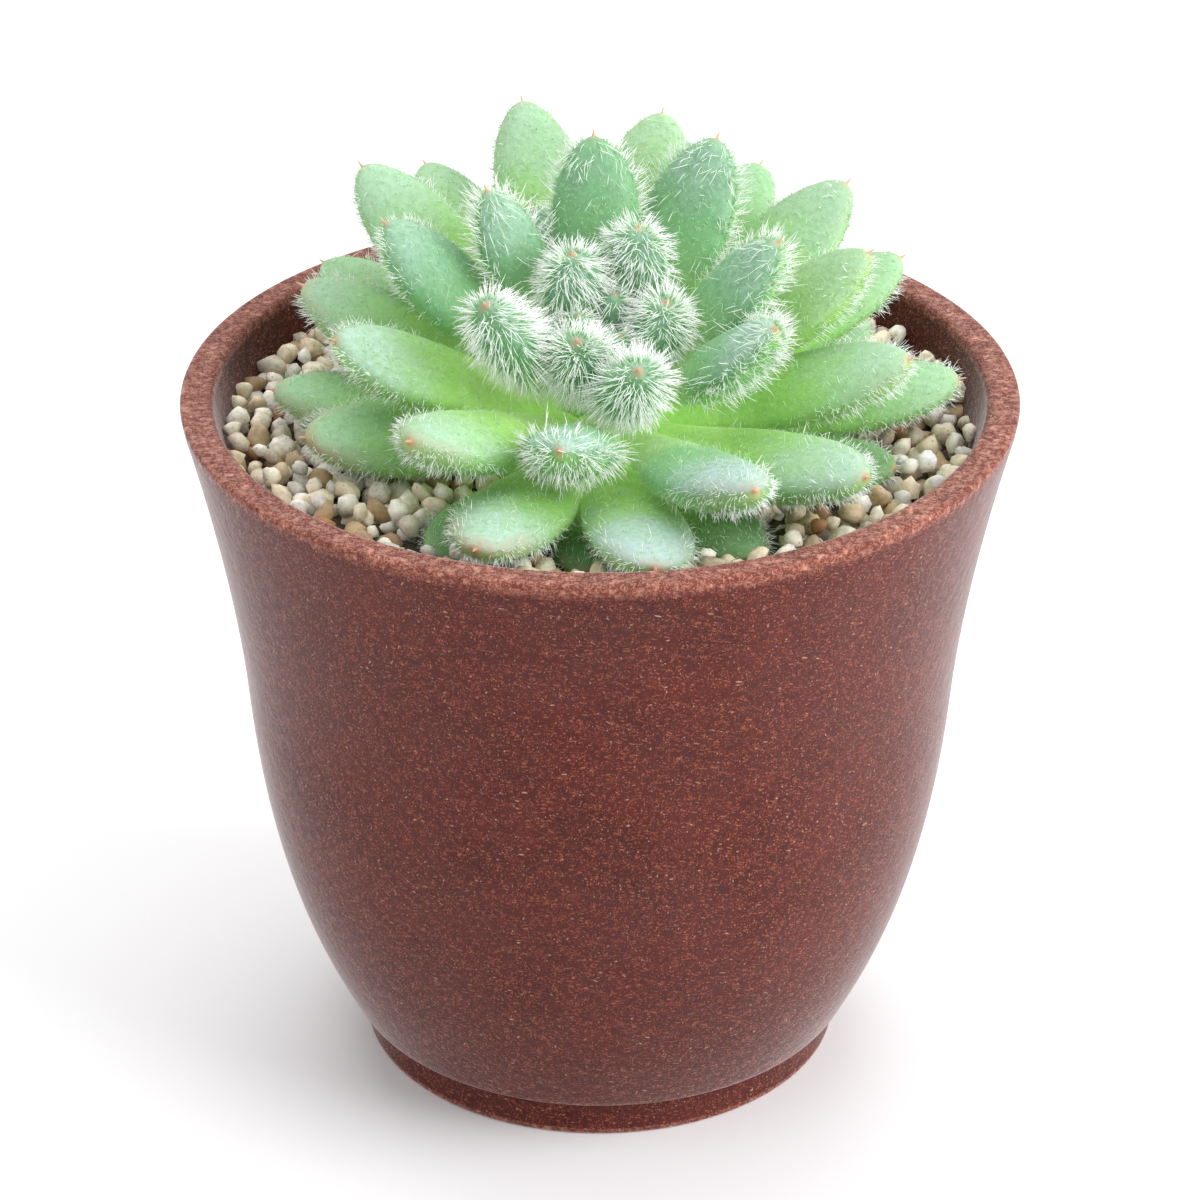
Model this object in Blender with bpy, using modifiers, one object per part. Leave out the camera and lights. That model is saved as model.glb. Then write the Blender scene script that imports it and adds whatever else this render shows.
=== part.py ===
"""A small potted succulent: a rosette of fat, hairy leaves in a turned wood-fibre pot with a top layer of grit.

The origin is the centre of the pot's foot, +Z is up and -Y is the front, towards which the rosette leans.
"""

import math

import bmesh
import bpy
import numpy as np
from mathutils import Matrix
from mathutils.bvhtree import BVHTree
from mathutils.geometry import interpolate_bezier

MM = 0.001
OBJECT_NAME = "potted_succulent"

# Pot, in metres. The body swells from the foot to a waist and flares again to the rim.
RIM_RADIUS = 45.0 * MM
POT_HEIGHT = 78.2 * MM
WALL = 3.6 * MM
RIM_ROUNDING = 0.5 * MM
WAIST_RADIUS = 38.6 * MM
WAIST_HEIGHT = 43.6 * MM
BOWL_RADIUS = 28.1 * MM
FOOT_RADIUS = 26.4 * MM
FOOT_HEIGHT = 4.9 * MM
FOOT_CHAMFER = 0.5 * MM
FOOT_RING_WIDTH = 4.0 * MM
FOOT_RECESS = 2.6 * MM
FLOOR = 3.6 * MM
DRAIN_RADIUS = 5.0 * MM

# How far each end of the two curves of the body leans outwards, in radians, and how strongly it pulls.
BOWL_LEAN = 0.49
WAIST_LEAN = 0.082
RIM_LEAN = 0.26
BOWL_PULL = 9.2 * MM
WAIST_PULL_DOWN = 20.0 * MM
WAIST_PULL_UP = 13.5 * MM
RIM_PULL = 7.0 * MM
CURVE_POINTS = 6

# Filling
FIT_GAP = 0.3 * MM
GRIT_BELOW_RIM = 4.0 * MM
GRIT_DEPTH = 6.7 * MM
GRIT_DISH = 2.4 * MM
GRIT_DISH_RADIUS = 35.0 * MM
GRIT_HOLE_RADIUS = 8.7 * MM

# Stem: a short dome that carries the leaves, and a neck that runs down into the soil
STEM_RADIUS = 3.8 * MM
STEM_DOME_HEIGHT = 9.5 * MM
NECK_LENGTH = 11.0 * MM
NECK_END_RADIUS = 2.4 * MM
LEAN_FORWARD = math.radians(14)
CROWN_FORWARD = 1.5 * MM
CROWN_ABOVE_GRIT = 0.1 * MM
LOWEST_LEAF_DROP = 1.2 * MM

# The leaf sizes below suit a pot of this radius at the level of the grit. Another pot scales the whole rosette.
LEAF_TABLE_RADIUS = 40.4 * MM
LEAF_GAP = 0.3 * MM
LEAF_PLUMPNESS = 1.0
LEAF_WIDTH = 1.0
WIDEST_AT = 0.62
UPPER_SHARE = 0.42
CAP_FULLNESS = 2.3
END_BLUNTNESS = 0.45
BASE_ROUND_SHARE = 0.035
SPINE_STEPS = 40

POT_STEPS = 48
CORE_STEPS = 24
LEAF_SIDES = 10
LEAF_RINGS = 8

# Each ring of leaves, from the heart outwards: width, thickness, curl in degrees over the length, drop of the
# base down the stem, share of the width and of the thickness that the base keeps, length of the point, and how
# fast the width tapers to it, where 0.5 gives a round end and 1 a pointed one.
# A leaf is (direction, lean from the stem, length, roll, share of the ring's width). Direction 0 is +X and 90 is
# the back. Angles are in degrees and lengths in millimetres. Leaves were placed one by one, as on the plant.
LEAF_RINGS_OF_PLANT = {
    "heart": {
        "shape": (3.4, 2.6, 12, 0.0, 0.55, 0.55, 0.4, 0.60),
        "leaves": [
            (53, 11, 8.5, 0, 1.0),
            (174, 26, 8.0, 0, 1.0),
            (198, 11, 8.0, 0, 1.0),
            (309, 16, 7.0, 0, 1.0),
        ],
    },
    "bud": {
        "shape": (7.3, 5.4, 18, 0.0, 0.40, 0.45, 0.7, 0.62),
        "leaves": [
            (5, 27, 10.5, 0, 1.0),
            (64, 28, 15.0, 0, 1.0),
            (120, 20, 12.5, 0, 0.96),
            (205, 35, 18.0, 0, 1.0),
            (250, 26, 11.0, 0, 0.98),
            (289, 39, 14.5, 0, 1.0),
        ],
    },
    "inner": {
        "shape": (9.2, 5.2, 18, 0.0, 0.40, 0.45, 1.0, 0.70),
        "leaves": [
            (14, 45, 22.5, 0, 0.98),
            (133, 42, 21.5, 0, 0.80),
            (260, 57, 23.5, 0, 1.0),
            (338, 48, 21.5, 0, 1.0),
        ],
    },
    "middle": {
        "shape": (10.0, 5.3, 16, 0.0, 0.40, 0.45, 1.0, 0.66),
        "leaves": [
            (14, 60, 29.0, 0, 0.96),
            (60, 51, 27.5, 0, 1.0),
            (92, 42, 24.5, 0, 0.92),
            (112, 56, 19.5, 0, 0.94),
            (156, 54, 26.0, 0, 1.0),
            (297, 64, 33.5, -6, 1.0),
        ],
    },
    "outer": {
        "shape": (10.8, 5.3, 12, 0.0, 0.40, 0.45, 1.0, 0.60),
        "leaves": [
            (39, 66, 33.0, 3, 0.96),
            (78, 63, 32.0, 0, 0.98),
            (103, 69, 36.5, 0, 0.98),
            (137, 66, 34.0, 0, 1.0),
            (160, 74, 31.0, 0, 0.98),
            (190, 62, 27.0, 0, 1.0),
            (230, 61, 29.5, 0, 1.0),
            (320, 71, 33.0, 2, 0.98),
            (352, 69, 30.5, 0, 0.98),
        ],
    },
    "front": {
        "shape": (10.6, 4.6, 8, 1.5, 0.40, 0.45, 0.7, 0.50),
        "leaves": [
            (249, 70, 33.0, 0, 1.02),
            (279, 71, 33.0, -8, 1.04),
        ],
    },
    "skirt": {
        "shape": (10.5, 4.8, 6, 0.0, 0.40, 0.45, 0.9, 0.58),
        "leaves": [
            (3, 82, 34.5, 0, 0.98),
            (29, 77, 34.0, -3, 0.98),
            (31, 88, 30.0, -4, 0.98),
            (59, 84, 32.0, 0, 1.0),
            (61, 74, 33.5, 0, 1.0),
            (79, 93, 32.0, 0, 1.0),
            (91, 83, 33.0, 0, 1.0),
            (112, 92, 31.0, 0, 1.0),
            (119, 78, 36.5, 4, 0.98),
            (142, 84, 34.5, 0, 1.0),
            (176, 84, 31.0, 2, 0.92),
            (196, 79, 28.5, -10, 0.98),
        ],
    },
    "under": {
        "shape": (9.6, 3.7, 3, 3.3, 0.40, 0.45, 0.7, 0.55),
        "leaves": [
            (235, 77, 26.5, -4, 0.90),
            (266, 76, 24.0, 0, 0.80),
            (302, 76, 26.5, 0, 0.96),
            (342, 79, 29.0, 3, 0.98),
        ],
    },
}

GRIT_LEVEL = POT_HEIGHT - GRIT_BELOW_RIM
FLOOR_LEVEL = FOOT_RECESS + FLOOR
CROWN = np.array([0.0, -CROWN_FORWARD, GRIT_LEVEL + CROWN_ABOVE_GRIT])
STEM_AXIS = np.array([0.0, -math.sin(LEAN_FORWARD), math.cos(LEAN_FORWARD)])
SIDEWAYS = np.array([1.0, 0.0, 0.0])
TO_BACK = np.cross(STEM_AXIS, SIDEWAYS)


def clear_scene():
    for obj in list(bpy.data.objects):
        bpy.data.objects.remove(obj, do_unlink=True)


def new_collection(name):
    collection = bpy.data.collections.new(name)
    bpy.context.scene.collection.children.link(collection)
    return collection


def new_material(name, colour, roughness, metallic=0.0):
    material = bpy.data.materials.new(name)
    material.use_nodes = True
    material.diffuse_color = (*colour, 1.0)
    shader = material.node_tree.nodes["Principled BSDF"]
    shader.inputs["Base Color"].default_value = (*colour, 1.0)
    shader.inputs["Roughness"].default_value = roughness
    shader.inputs["Metallic"].default_value = metallic
    return material


def add_object(name, bm, collection, material=None):
    """Makes an object of the bmesh, smooth shaded, and frees the bmesh."""
    mesh = bpy.data.meshes.new(name)
    bm.to_mesh(mesh)
    bm.free()
    mesh.shade_smooth()
    mesh.set_sharp_from_angle(angle=math.radians(40))
    if material:
        mesh.materials.append(material)
    obj = bpy.data.objects.new(name, mesh)
    collection.objects.link(obj)
    return obj


def turned(name, profile, closed, steps, collection, material=None):
    """A profile of (radius, height) points turned about Z. It runs down its outer side, top to bottom."""
    bm = bmesh.new()
    points = [bm.verts.new((radius, 0.0, height)) for radius, height in profile]
    for start, end in zip(points, points[1:]):
        bm.edges.new((start, end))
    if closed:
        bm.edges.new((points[-1], points[0]))
    obj = add_object(name, bm, collection, material)
    screw = obj.modifiers.new("turn", "SCREW")
    screw.steps = steps
    screw.render_steps = steps
    screw.use_merge_vertices = True
    screw.merge_threshold = 0.01 * MM
    screw.use_smooth_shade = True
    return obj


def leaning(angle, pull):
    """The handle of a curve that rises and leans outwards by the angle."""
    return np.array([math.sin(angle) * pull, math.cos(angle) * pull])


def body_outline():
    """(radius, height) down the pot's outer side, from the rim to the top of the foot, as two smooth curves."""
    rim = np.array([RIM_RADIUS, POT_HEIGHT])
    waist = np.array([WAIST_RADIUS, WAIST_HEIGHT])
    bowl = np.array([BOWL_RADIUS, FOOT_HEIGHT])
    curves = (
        (rim, rim - leaning(RIM_LEAN, RIM_PULL), waist + leaning(WAIST_LEAN, WAIST_PULL_UP), waist),
        (waist, waist - leaning(WAIST_LEAN, WAIST_PULL_DOWN), bowl + leaning(BOWL_LEAN, BOWL_PULL), bowl),
    )
    upper, lower = ([tuple(p)[:2] for p in interpolate_bezier(*c, CURVE_POINTS)] for c in curves)
    return upper + lower[1:]


def outer_radius(height):
    radii, heights = np.array(body_outline())[::-1].T
    return float(np.interp(height, heights, radii))


def inner_radius(height):
    return outer_radius(height) - WALL


def inner_outline(top, bottom, gap=0.0):
    """(radius, height) down the wall's inner side, between two heights and this far clear of it."""
    between = [h for _, h in body_outline() if bottom < h < top]
    return [(inner_radius(h) - gap, h) for h in [top, *between, bottom]]


def pot_profile():
    r = RIM_ROUNDING
    rim_slope = outer_radius(POT_HEIGHT) - outer_radius(POT_HEIGHT - r)
    outside = [p for p in body_outline() if p[1] < POT_HEIGHT - r]
    rim_outside = [(RIM_RADIUS - r, POT_HEIGHT), (RIM_RADIUS - rim_slope, POT_HEIGHT - r)]
    rim_inside = (RIM_RADIUS - WALL + r, POT_HEIGHT)
    foot = [
        (FOOT_RADIUS, FOOT_HEIGHT - FOOT_CHAMFER),
        (FOOT_RADIUS, FOOT_CHAMFER),
        (FOOT_RADIUS - FOOT_CHAMFER, 0.0),
        (FOOT_RADIUS - FOOT_RING_WIDTH, 0.0),
        (FOOT_RADIUS - FOOT_RING_WIDTH, FOOT_RECESS),
        (DRAIN_RADIUS, FOOT_RECESS),
        (DRAIN_RADIUS, FLOOR_LEVEL),
    ]
    inside = inner_outline(POT_HEIGHT - r, FLOOR_LEVEL)[::-1]
    return rim_outside + outside + foot + inside + [rim_inside]


def soil_profile():
    top = GRIT_LEVEL - GRIT_DEPTH - FIT_GAP
    bottom = FLOOR_LEVEL + FIT_GAP
    return [(0.0, top), *inner_outline(top, bottom, FIT_GAP), (0.0, bottom)]


def grit_profile():
    bottom = GRIT_LEVEL - GRIT_DEPTH
    dish = (GRIT_DISH_RADIUS, GRIT_LEVEL)
    edge = (GRIT_HOLE_RADIUS, GRIT_LEVEL - GRIT_DISH)
    return [edge, dish, *inner_outline(GRIT_LEVEL, bottom, FIT_GAP), (GRIT_HOLE_RADIUS, bottom)]


def rosette_scale():
    """How much the plant grows with the pot: its lowest leaves fill the mouth at the level of the grit."""
    return inner_radius(GRIT_LEVEL) / LEAF_TABLE_RADIUS


def stem_profile(radius, dome_height, gap=0.0):
    """The stem's dome and neck along its own axis, from the top down, grown all round by the gap."""
    angles = np.radians(np.linspace(0, 90, 8))
    dome = [
        ((radius + gap) * math.sin(a), (dome_height + gap) * math.cos(a) - LOWEST_LEAF_DROP)
        for a in angles
    ]
    return dome + [(NECK_END_RADIUS + gap, -NECK_LENGTH - gap), (0.0, -NECK_LENGTH - gap)]


def make_stem(name, gap, collection, material=None):
    scale = rosette_scale()
    profile = stem_profile(STEM_RADIUS, STEM_DOME_HEIGHT - LEAF_GAP, gap)
    stem = turned(name, profile, False, CORE_STEPS, collection, material)
    stem.matrix_world = (
        Matrix.Translation(CROWN)
        @ Matrix.Rotation(LEAN_FORWARD, 4, "X")
        @ Matrix.Scale(scale, 4)
    )
    return stem


def eased(share):
    """0 to 1 with a level start and end."""
    share = np.clip(share, 0.0, 1.0)
    return share * share * (3.0 - 2.0 * share)


def leaf_bmesh(shape, leaf, pad, sides=LEAF_SIDES, rings=LEAF_RINGS):
    """One leaf in world space, grown all round by the pad: a sphere whose poles become the base and the point.

    At the share u of its length the leaf is width * (base + (1 - base) * eased(u / WIDEST_AT)) * cap wide, where
    cap closes the end. Its thickness closes bluntly, and its spine bends towards the stem's axis by the ring's curl.
    """
    width, thickness, curl, drop, base_width, base_thickness, point, taper = shape
    direction, lean, length, roll, fullness = leaf
    width *= fullness * LEAF_WIDTH * MM
    thickness *= (1.0 + fullness) / 2 * LEAF_PLUMPNESS * MM
    length *= MM
    direction, lean, curl, roll = np.radians((direction, lean, curl, roll))
    outwards = math.cos(direction) * SIDEWAYS + math.sin(direction) * TO_BACK
    across = np.cross(STEM_AXIS, outwards)
    start = (STEM_RADIUS + LEAF_GAP + 0.1 * MM) * min(1.0, 1.15 * math.sin(lean)) * outwards
    height = STEM_DOME_HEIGHT * math.cos(lean) - LOWEST_LEAF_DROP - drop * MM
    start = start + height * STEM_AXIS - pad * (math.sin(lean) * outwards + math.cos(lean) * STEM_AXIS)

    bm = bmesh.new()
    bmesh.ops.create_uvsphere(bm, u_segments=sides, v_segments=rings, radius=1.0)
    sphere = np.array([v.co for v in bm.verts])
    u = np.clip((1.0 + sphere[:, 2]) / 2, 0.0, 1.0)
    ring = np.hypot(sphere[:, 0], sphere[:, 1])
    round_x, round_y = sphere[:, :2].T / np.maximum(ring, 1e-6) * (ring > 1e-4)

    steps = np.linspace(0.0, 1.0, SPINE_STEPS + 1)
    spine_lean = lean + curl * (0.5 - steps)
    headings = np.sin(spine_lean)[:, None] * outwards + np.cos(spine_lean)[:, None] * STEM_AXIS
    strides = (headings[1:] + headings[:-1]) / 2 * (length + 2 * pad) / SPINE_STEPS
    spine = np.vstack([np.zeros(3), np.cumsum(strides, axis=0)])
    spot = np.stack([np.interp(u, steps, spine[:, k]) for k in range(3)], axis=1)

    lean_here = (lean + curl * (0.5 - u))[:, None]
    upper = np.sin(lean_here) * STEM_AXIS - np.cos(lean_here) * outwards
    heading = np.cos(lean_here) * STEM_AXIS + np.sin(lean_here) * outwards
    side = math.cos(roll) * across + math.sin(roll) * upper
    face = math.cos(roll) * upper - math.sin(roll) * across

    past_widest = np.clip((u - WIDEST_AT) / (1.0 - WIDEST_AT), 0.0, 1.0)
    cap = 1.0 - past_widest**CAP_FULLNESS
    base_round = np.sqrt(1.0 - (1.0 - np.clip(u / BASE_ROUND_SHARE, 0.0, 1.0)) ** 2)
    half_width = width / 2 * (base_width + (1 - base_width) * eased(u / WIDEST_AT)) + pad
    half_width *= cap**taper * base_round
    depth = thickness * (base_thickness + (1 - base_thickness) * eased(u / (0.85 * WIDEST_AT))) + 2 * pad
    depth *= cap**END_BLUNTNESS * base_round
    bulge = np.where(round_y > 0, UPPER_SHARE, 1.0 - UPPER_SHARE) * round_y
    tip = (u > 1.0 - 1e-4) * point * MM

    offset = spot + (half_width * round_x)[:, None] * side + (depth * bulge)[:, None] * face
    offset += tip[:, None] * heading
    place = CROWN + rosette_scale() * (start + offset)
    for vert, co in zip(bm.verts, place):
        vert.co = co
    bmesh.ops.triangulate(bm, faces=bm.faces)
    return bm


def bvh_of(obj):
    return BVHTree.FromPolygons([v.co for v in obj.data.vertices], [p.vertices for p in obj.data.polygons])


def cut_clear(obj, cutter):
    """Cuts the object back from a padded copy of what presses on it."""
    cut = obj.modifiers.new("clear_of_" + cutter.name, "BOOLEAN")
    cut.operation = "DIFFERENCE"
    cut.solver = "EXACT"
    cut.object = cutter


def make_cutter(obj):
    obj.hide_render = True
    obj.display_type = "WIRE"
    return obj


def make_leaves(parts, cutters, material_of):
    """Every leaf with its padded copy. A leaf gives way where one nearer the heart presses on it."""
    leaves = []
    for ring, plan in LEAF_RINGS_OF_PLANT.items():
        rings = LEAF_RINGS - 2 if ring == "heart" else LEAF_RINGS
        for index, leaf in enumerate(plan["leaves"], start=1):
            name = f"{ring}_leaf_{index:02d}"
            obj = add_object(name, leaf_bmesh(plan["shape"], leaf, 0.0, rings=rings), parts, material_of(name))
            room = leaf_bmesh(plan["shape"], leaf, LEAF_GAP, rings=rings)
            padded = make_cutter(add_object(f"room_{name}", room, cutters))
            surface = bvh_of(obj)
            for _, neighbour in leaves:
                if surface.overlap(bvh_of(neighbour)):
                    cut_clear(obj, neighbour)
            leaves.append((obj, padded))
    return leaves


def main():
    clear_scene()
    parts = new_collection(OBJECT_NAME)
    cutters = new_collection("cutters")

    colours = {
        "heart": (0.42, 0.62, 0.40),
        "bud": (0.40, 0.62, 0.36),
        "inner": (0.38, 0.60, 0.32),
        "middle": (0.36, 0.60, 0.27),
        "outer": (0.36, 0.60, 0.25),
        "front": (0.36, 0.60, 0.24),
        "skirt": (0.33, 0.56, 0.24),
        "under": (0.24, 0.42, 0.20),
    }

    def leaf_material(name):
        return new_material(name, colours[name.split("_")[0]], 0.55)

    composite = new_material("wood_fibre_composite", (0.20, 0.06, 0.045), 0.5)
    earth = new_material("potting_soil", (0.05, 0.035, 0.025), 0.95)
    stones = new_material("grit_layer", (0.55, 0.48, 0.36), 0.8)
    turned("pot", pot_profile(), True, POT_STEPS, parts, composite)
    soil = turned("potting_soil", soil_profile(), False, CORE_STEPS, parts, earth)
    grit = turned("grit_layer", grit_profile(), True, POT_STEPS, parts, stones)
    make_stem("stem", 0.0, parts, new_material("stem", (0.30, 0.36, 0.16), 0.7))
    cut_clear(soil, make_cutter(make_stem("room_stem", FIT_GAP, cutters)))

    leaves = make_leaves(parts, cutters, leaf_material)
    bpy.context.view_layer.update()
    graph = bpy.context.evaluated_depsgraph_get()
    grit_surface = BVHTree.FromObject(grit, graph)
    for _, padded in leaves:
        if grit_surface.overlap(bvh_of(padded)):
            cut_clear(grit, padded)


if __name__ == "__main__":
    main()
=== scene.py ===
"""The looks of a small potted succulent: hairy leaves, grit, a turned wood-fibre pot and a pale studio.

Everything is in metres in the frame of the CAD model: +Z is up, -Y is the front and the pot stands on z = 0.
"""

import math

import bpy
import numpy as np
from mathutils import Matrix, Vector


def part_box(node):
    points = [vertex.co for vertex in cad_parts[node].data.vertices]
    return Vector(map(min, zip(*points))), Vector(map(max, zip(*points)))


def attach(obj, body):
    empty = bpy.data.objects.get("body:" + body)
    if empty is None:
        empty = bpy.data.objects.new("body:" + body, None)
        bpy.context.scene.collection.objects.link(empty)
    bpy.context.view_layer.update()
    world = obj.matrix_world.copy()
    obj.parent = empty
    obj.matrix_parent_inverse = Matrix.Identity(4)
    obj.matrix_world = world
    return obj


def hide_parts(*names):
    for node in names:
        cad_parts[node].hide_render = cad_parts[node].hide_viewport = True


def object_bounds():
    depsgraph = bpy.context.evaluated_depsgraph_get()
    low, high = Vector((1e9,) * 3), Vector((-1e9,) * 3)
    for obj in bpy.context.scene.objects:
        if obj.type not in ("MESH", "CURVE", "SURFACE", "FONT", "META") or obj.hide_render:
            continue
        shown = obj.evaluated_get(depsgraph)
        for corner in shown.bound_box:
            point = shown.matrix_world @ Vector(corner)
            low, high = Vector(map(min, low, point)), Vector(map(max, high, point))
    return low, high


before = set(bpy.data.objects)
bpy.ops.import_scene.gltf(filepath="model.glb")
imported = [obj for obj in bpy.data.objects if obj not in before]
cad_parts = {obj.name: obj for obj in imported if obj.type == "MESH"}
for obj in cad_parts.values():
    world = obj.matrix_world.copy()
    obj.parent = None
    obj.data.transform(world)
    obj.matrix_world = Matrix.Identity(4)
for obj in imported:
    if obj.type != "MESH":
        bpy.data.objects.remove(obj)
CAD_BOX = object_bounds()

bl_info = {
    "name": "Potted succulent",
    "version": (1, 0, 0),
    "blender": (4, 5, 0),
    "location": "3D View > Sidebar > Succulent",
    "description": "Builds the leaves, hairs, grit, pot and studio of a small potted succulent",
    "category": "Add Mesh",
}

MM = 0.001
TAU = 2 * math.pi

# Levels and radii that the CAD model gives
POT_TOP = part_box("pot")[1].z
RIM_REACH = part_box("pot")[1].x
GRIT_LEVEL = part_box("grit_layer")[1].z
GRIT_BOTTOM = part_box("grit_layer")[0].z
OBJECT_TOP = CAD_BOX[1].z

# Pot outline, as in the CAD model
WALL = 3.6 * MM
WAIST = np.array([38.6, 43.6]) * MM
BOWL = np.array([28.1, 4.9]) * MM
FOOT_RADIUS = 26.4 * MM
FOOT_RING_WIDTH = 4.0 * MM
FOOT_RECESS = 2.6 * MM
FLOOR_LEVEL = 6.2 * MM
DRAIN_RADIUS = 5.0 * MM
RIM_LEAN, RIM_PULL = 0.26, 7.0 * MM
WAIST_LEAN, WAIST_PULL_UP, WAIST_PULL_DOWN = 0.082, 13.5 * MM, 20.0 * MM
BOWL_LEAN, BOWL_PULL = 0.49, 9.2 * MM
RIM_RADIUS = 45.0 * MM
RIM_BAND = 1.2 * MM
OUTLINE_STEPS = 26

# Rosette, as in the CAD model
STEM_RADIUS = 3.8 * MM
STEM_DOME_HEIGHT = 9.5 * MM
LOWEST_LEAF_DROP = 1.2 * MM
LEAN_FORWARD = math.radians(14)
CROWN = np.array([0.0, -1.5 * MM, GRIT_LEVEL + 0.1 * MM])
STEM_AXIS = np.array([0.0, -math.sin(LEAN_FORWARD), math.cos(LEAN_FORWARD)])
SIDEWAYS = np.array([1.0, 0.0, 0.0])
TO_BACK = np.cross(STEM_AXIS, SIDEWAYS)
WIDEST_AT = 0.62
UPPER_SHARE = 0.42
LEAF_END = 0.993
POINT_RADII = np.array([0.24, 0.15, 0.11, 0.085, 0.055]) * MM
POINT_REACH = np.array([0.12, 0.30, 0.50, 0.72, 0.90])

# Each ring of leaves from the heart outwards. Its shape is width, thickness, curl in degrees, drop of the base,
# shares of the width and of the thickness kept at the base, length of the point, and how fast the width tapers
# to it. A leaf is direction, lean from the stem, length, roll and share of the ring's width. Angles are in
# degrees and lengths in millimetres. The hairs are of a kind in HAIR_KINDS, so many on each leaf.
RINGS = {
    "heart": {
        "shape": (3.4, 2.6, 12, 0.0, 0.55, 0.55, 0.4, 0.60),
        "slot": "leaf_young",
        "hairs": ("shaggy", 210),
        "leaves": (
            (53, 11, 8.5, 0, 1.0), (174, 26, 8.0, 0, 1.0), (198, 11, 8.0, 0, 1.0), (309, 16, 7.0, 0, 1.0),
        ),
    },
    "bud": {
        "shape": (7.3, 5.4, 18, 0.0, 0.40, 0.45, 0.7, 0.62),
        "slot": "leaf_young",
        "hairs": ("shaggy", 1250),
        "leaves": (
            (5, 27, 10.5, 0, 1.0), (64, 28, 15.0, 0, 1.0), (120, 20, 12.5, 0, 0.96), (205, 35, 18.0, 0, 1.0),
            (250, 26, 11.0, 0, 0.98), (289, 39, 14.5, 0, 1.0),
        ),
    },
    "inner": {
        "shape": (9.2, 5.2, 18, 0.0, 0.40, 0.45, 1.0, 0.70),
        "slot": "leaf_inner",
        "hairs": ("fringed", 640),
        "leaves": (
            (14, 45, 22.5, 0, 0.98), (133, 42, 21.5, 0, 0.80), (260, 57, 23.5, 0, 1.0), (338, 48, 21.5, 0, 1.0),
        ),
    },
    "middle": {
        "shape": (10.0, 5.3, 16, 0.0, 0.40, 0.45, 1.0, 0.66),
        "slot": "leaf_inner",
        "hairs": ("sparse", 460),
        "leaves": (
            (14, 60, 29.0, 0, 0.96), (60, 51, 27.5, 0, 1.0), (92, 42, 24.5, 0, 0.92), (112, 56, 19.5, 0, 0.94),
            (156, 54, 26.0, 0, 1.0), (297, 64, 33.5, -6, 1.0),
        ),
    },
    "outer": {
        "shape": (10.8, 5.3, 12, 0.0, 0.40, 0.45, 1.0, 0.60),
        "slot": "leaf_outer",
        "hairs": ("sparse", 460),
        "leaves": (
            (39, 66, 33.0, 3, 0.96), (78, 63, 32.0, 0, 0.98), (103, 69, 36.5, 0, 0.98), (137, 66, 34.0, 0, 1.0),
            (160, 74, 31.0, 0, 0.98), (190, 62, 27.0, 0, 1.0), (230, 61, 29.5, 0, 1.0), (320, 71, 33.0, 2, 0.98),
            (352, 69, 30.5, 0, 0.98),
        ),
    },
    "front": {
        "shape": (10.6, 4.6, 8, 1.5, 0.40, 0.45, 0.7, 0.50),
        "slot": "leaf_outer",
        "hairs": ("sparse", 460),
        "leaves": (
            (249, 70, 33.0, 0, 1.02), (279, 71, 33.0, -8, 1.04),
        ),
    },
    "skirt": {
        "shape": (10.5, 4.8, 6, 0.0, 0.40, 0.45, 0.9, 0.58),
        "slot": "leaf_outer",
        "hairs": ("sparse", 420),
        "leaves": (
            (3, 82, 34.5, 0, 0.98), (29, 77, 34.0, -3, 0.98), (31, 88, 30.0, -4, 0.98), (59, 84, 32.0, 0, 1.0),
            (61, 74, 33.5, 0, 1.0), (79, 93, 32.0, 0, 1.0), (91, 83, 33.0, 0, 1.0), (112, 92, 31.0, 0, 1.0),
            (119, 78, 36.5, 4, 0.98), (142, 84, 34.5, 0, 1.0), (176, 84, 31.0, 2, 0.92), (196, 79, 28.5, -10, 0.98),
        ),
    },
    "under": {
        "shape": (9.6, 3.7, 3, 3.3, 0.40, 0.45, 0.7, 0.55),
        "slot": "leaf_shaded",
        "hairs": ("sparse", 300),
        "leaves": (
            (235, 77, 26.5, -4, 0.90), (266, 76, 24.0, 0, 0.80), (302, 76, 26.5, 0, 0.96), (342, 79, 29.0, 3, 0.98),
        ),
    },
}

# How much pale bloom each ring carries, and the leaves that differ from their ring in bloom or hairs, have a
# warmer green (sun) or a dry margin (tan). 0 is none and 1 is full; bloom above 1 reaches further from the end.
RING_BLOOM = {
    "heart": 0.35, "bud": 0.45, "inner": 0.75, "middle": 0.6,
    "outer": 0.6, "front": 0.55, "skirt": 0.4, "under": 0.3,
}
LEAF_BLOOM = {
    "inner_leaf_01": 0.6, "inner_leaf_02": 0.7, "inner_leaf_03": 1.0, "inner_leaf_04": 0.95,
    "middle_leaf_03": 0.3, "middle_leaf_06": 1.4, "front_leaf_01": 0.9, "front_leaf_02": 1.4,
    "outer_leaf_06": 0.8, "outer_leaf_07": 0.55, "outer_leaf_08": 0.8,
}
LEAF_HAIRS = {
    "middle_leaf_02": ("fringed", 620),
    "middle_leaf_03": ("fringed", 620),
    "inner_leaf_04": ("fringed", 780),
}
LEAF_SUN = {"middle_leaf_01": 0.9, "outer_leaf_02": 0.5}
LEAF_TAN = {
    "middle_leaf_06": 0.35, "front_leaf_01": 0.75, "front_leaf_02": 0.3, "outer_leaf_01": 0.3,
    "outer_leaf_03": 0.25, "outer_leaf_05": 0.5, "outer_leaf_07": 0.45, "outer_leaf_08": 0.15,
    "outer_leaf_09": 0.25, "skirt_leaf_11": 0.6, "skirt_leaf_12": 0.8, "under_leaf_02": 0.6,
}
USUAL_TAN = 0.06

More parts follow.
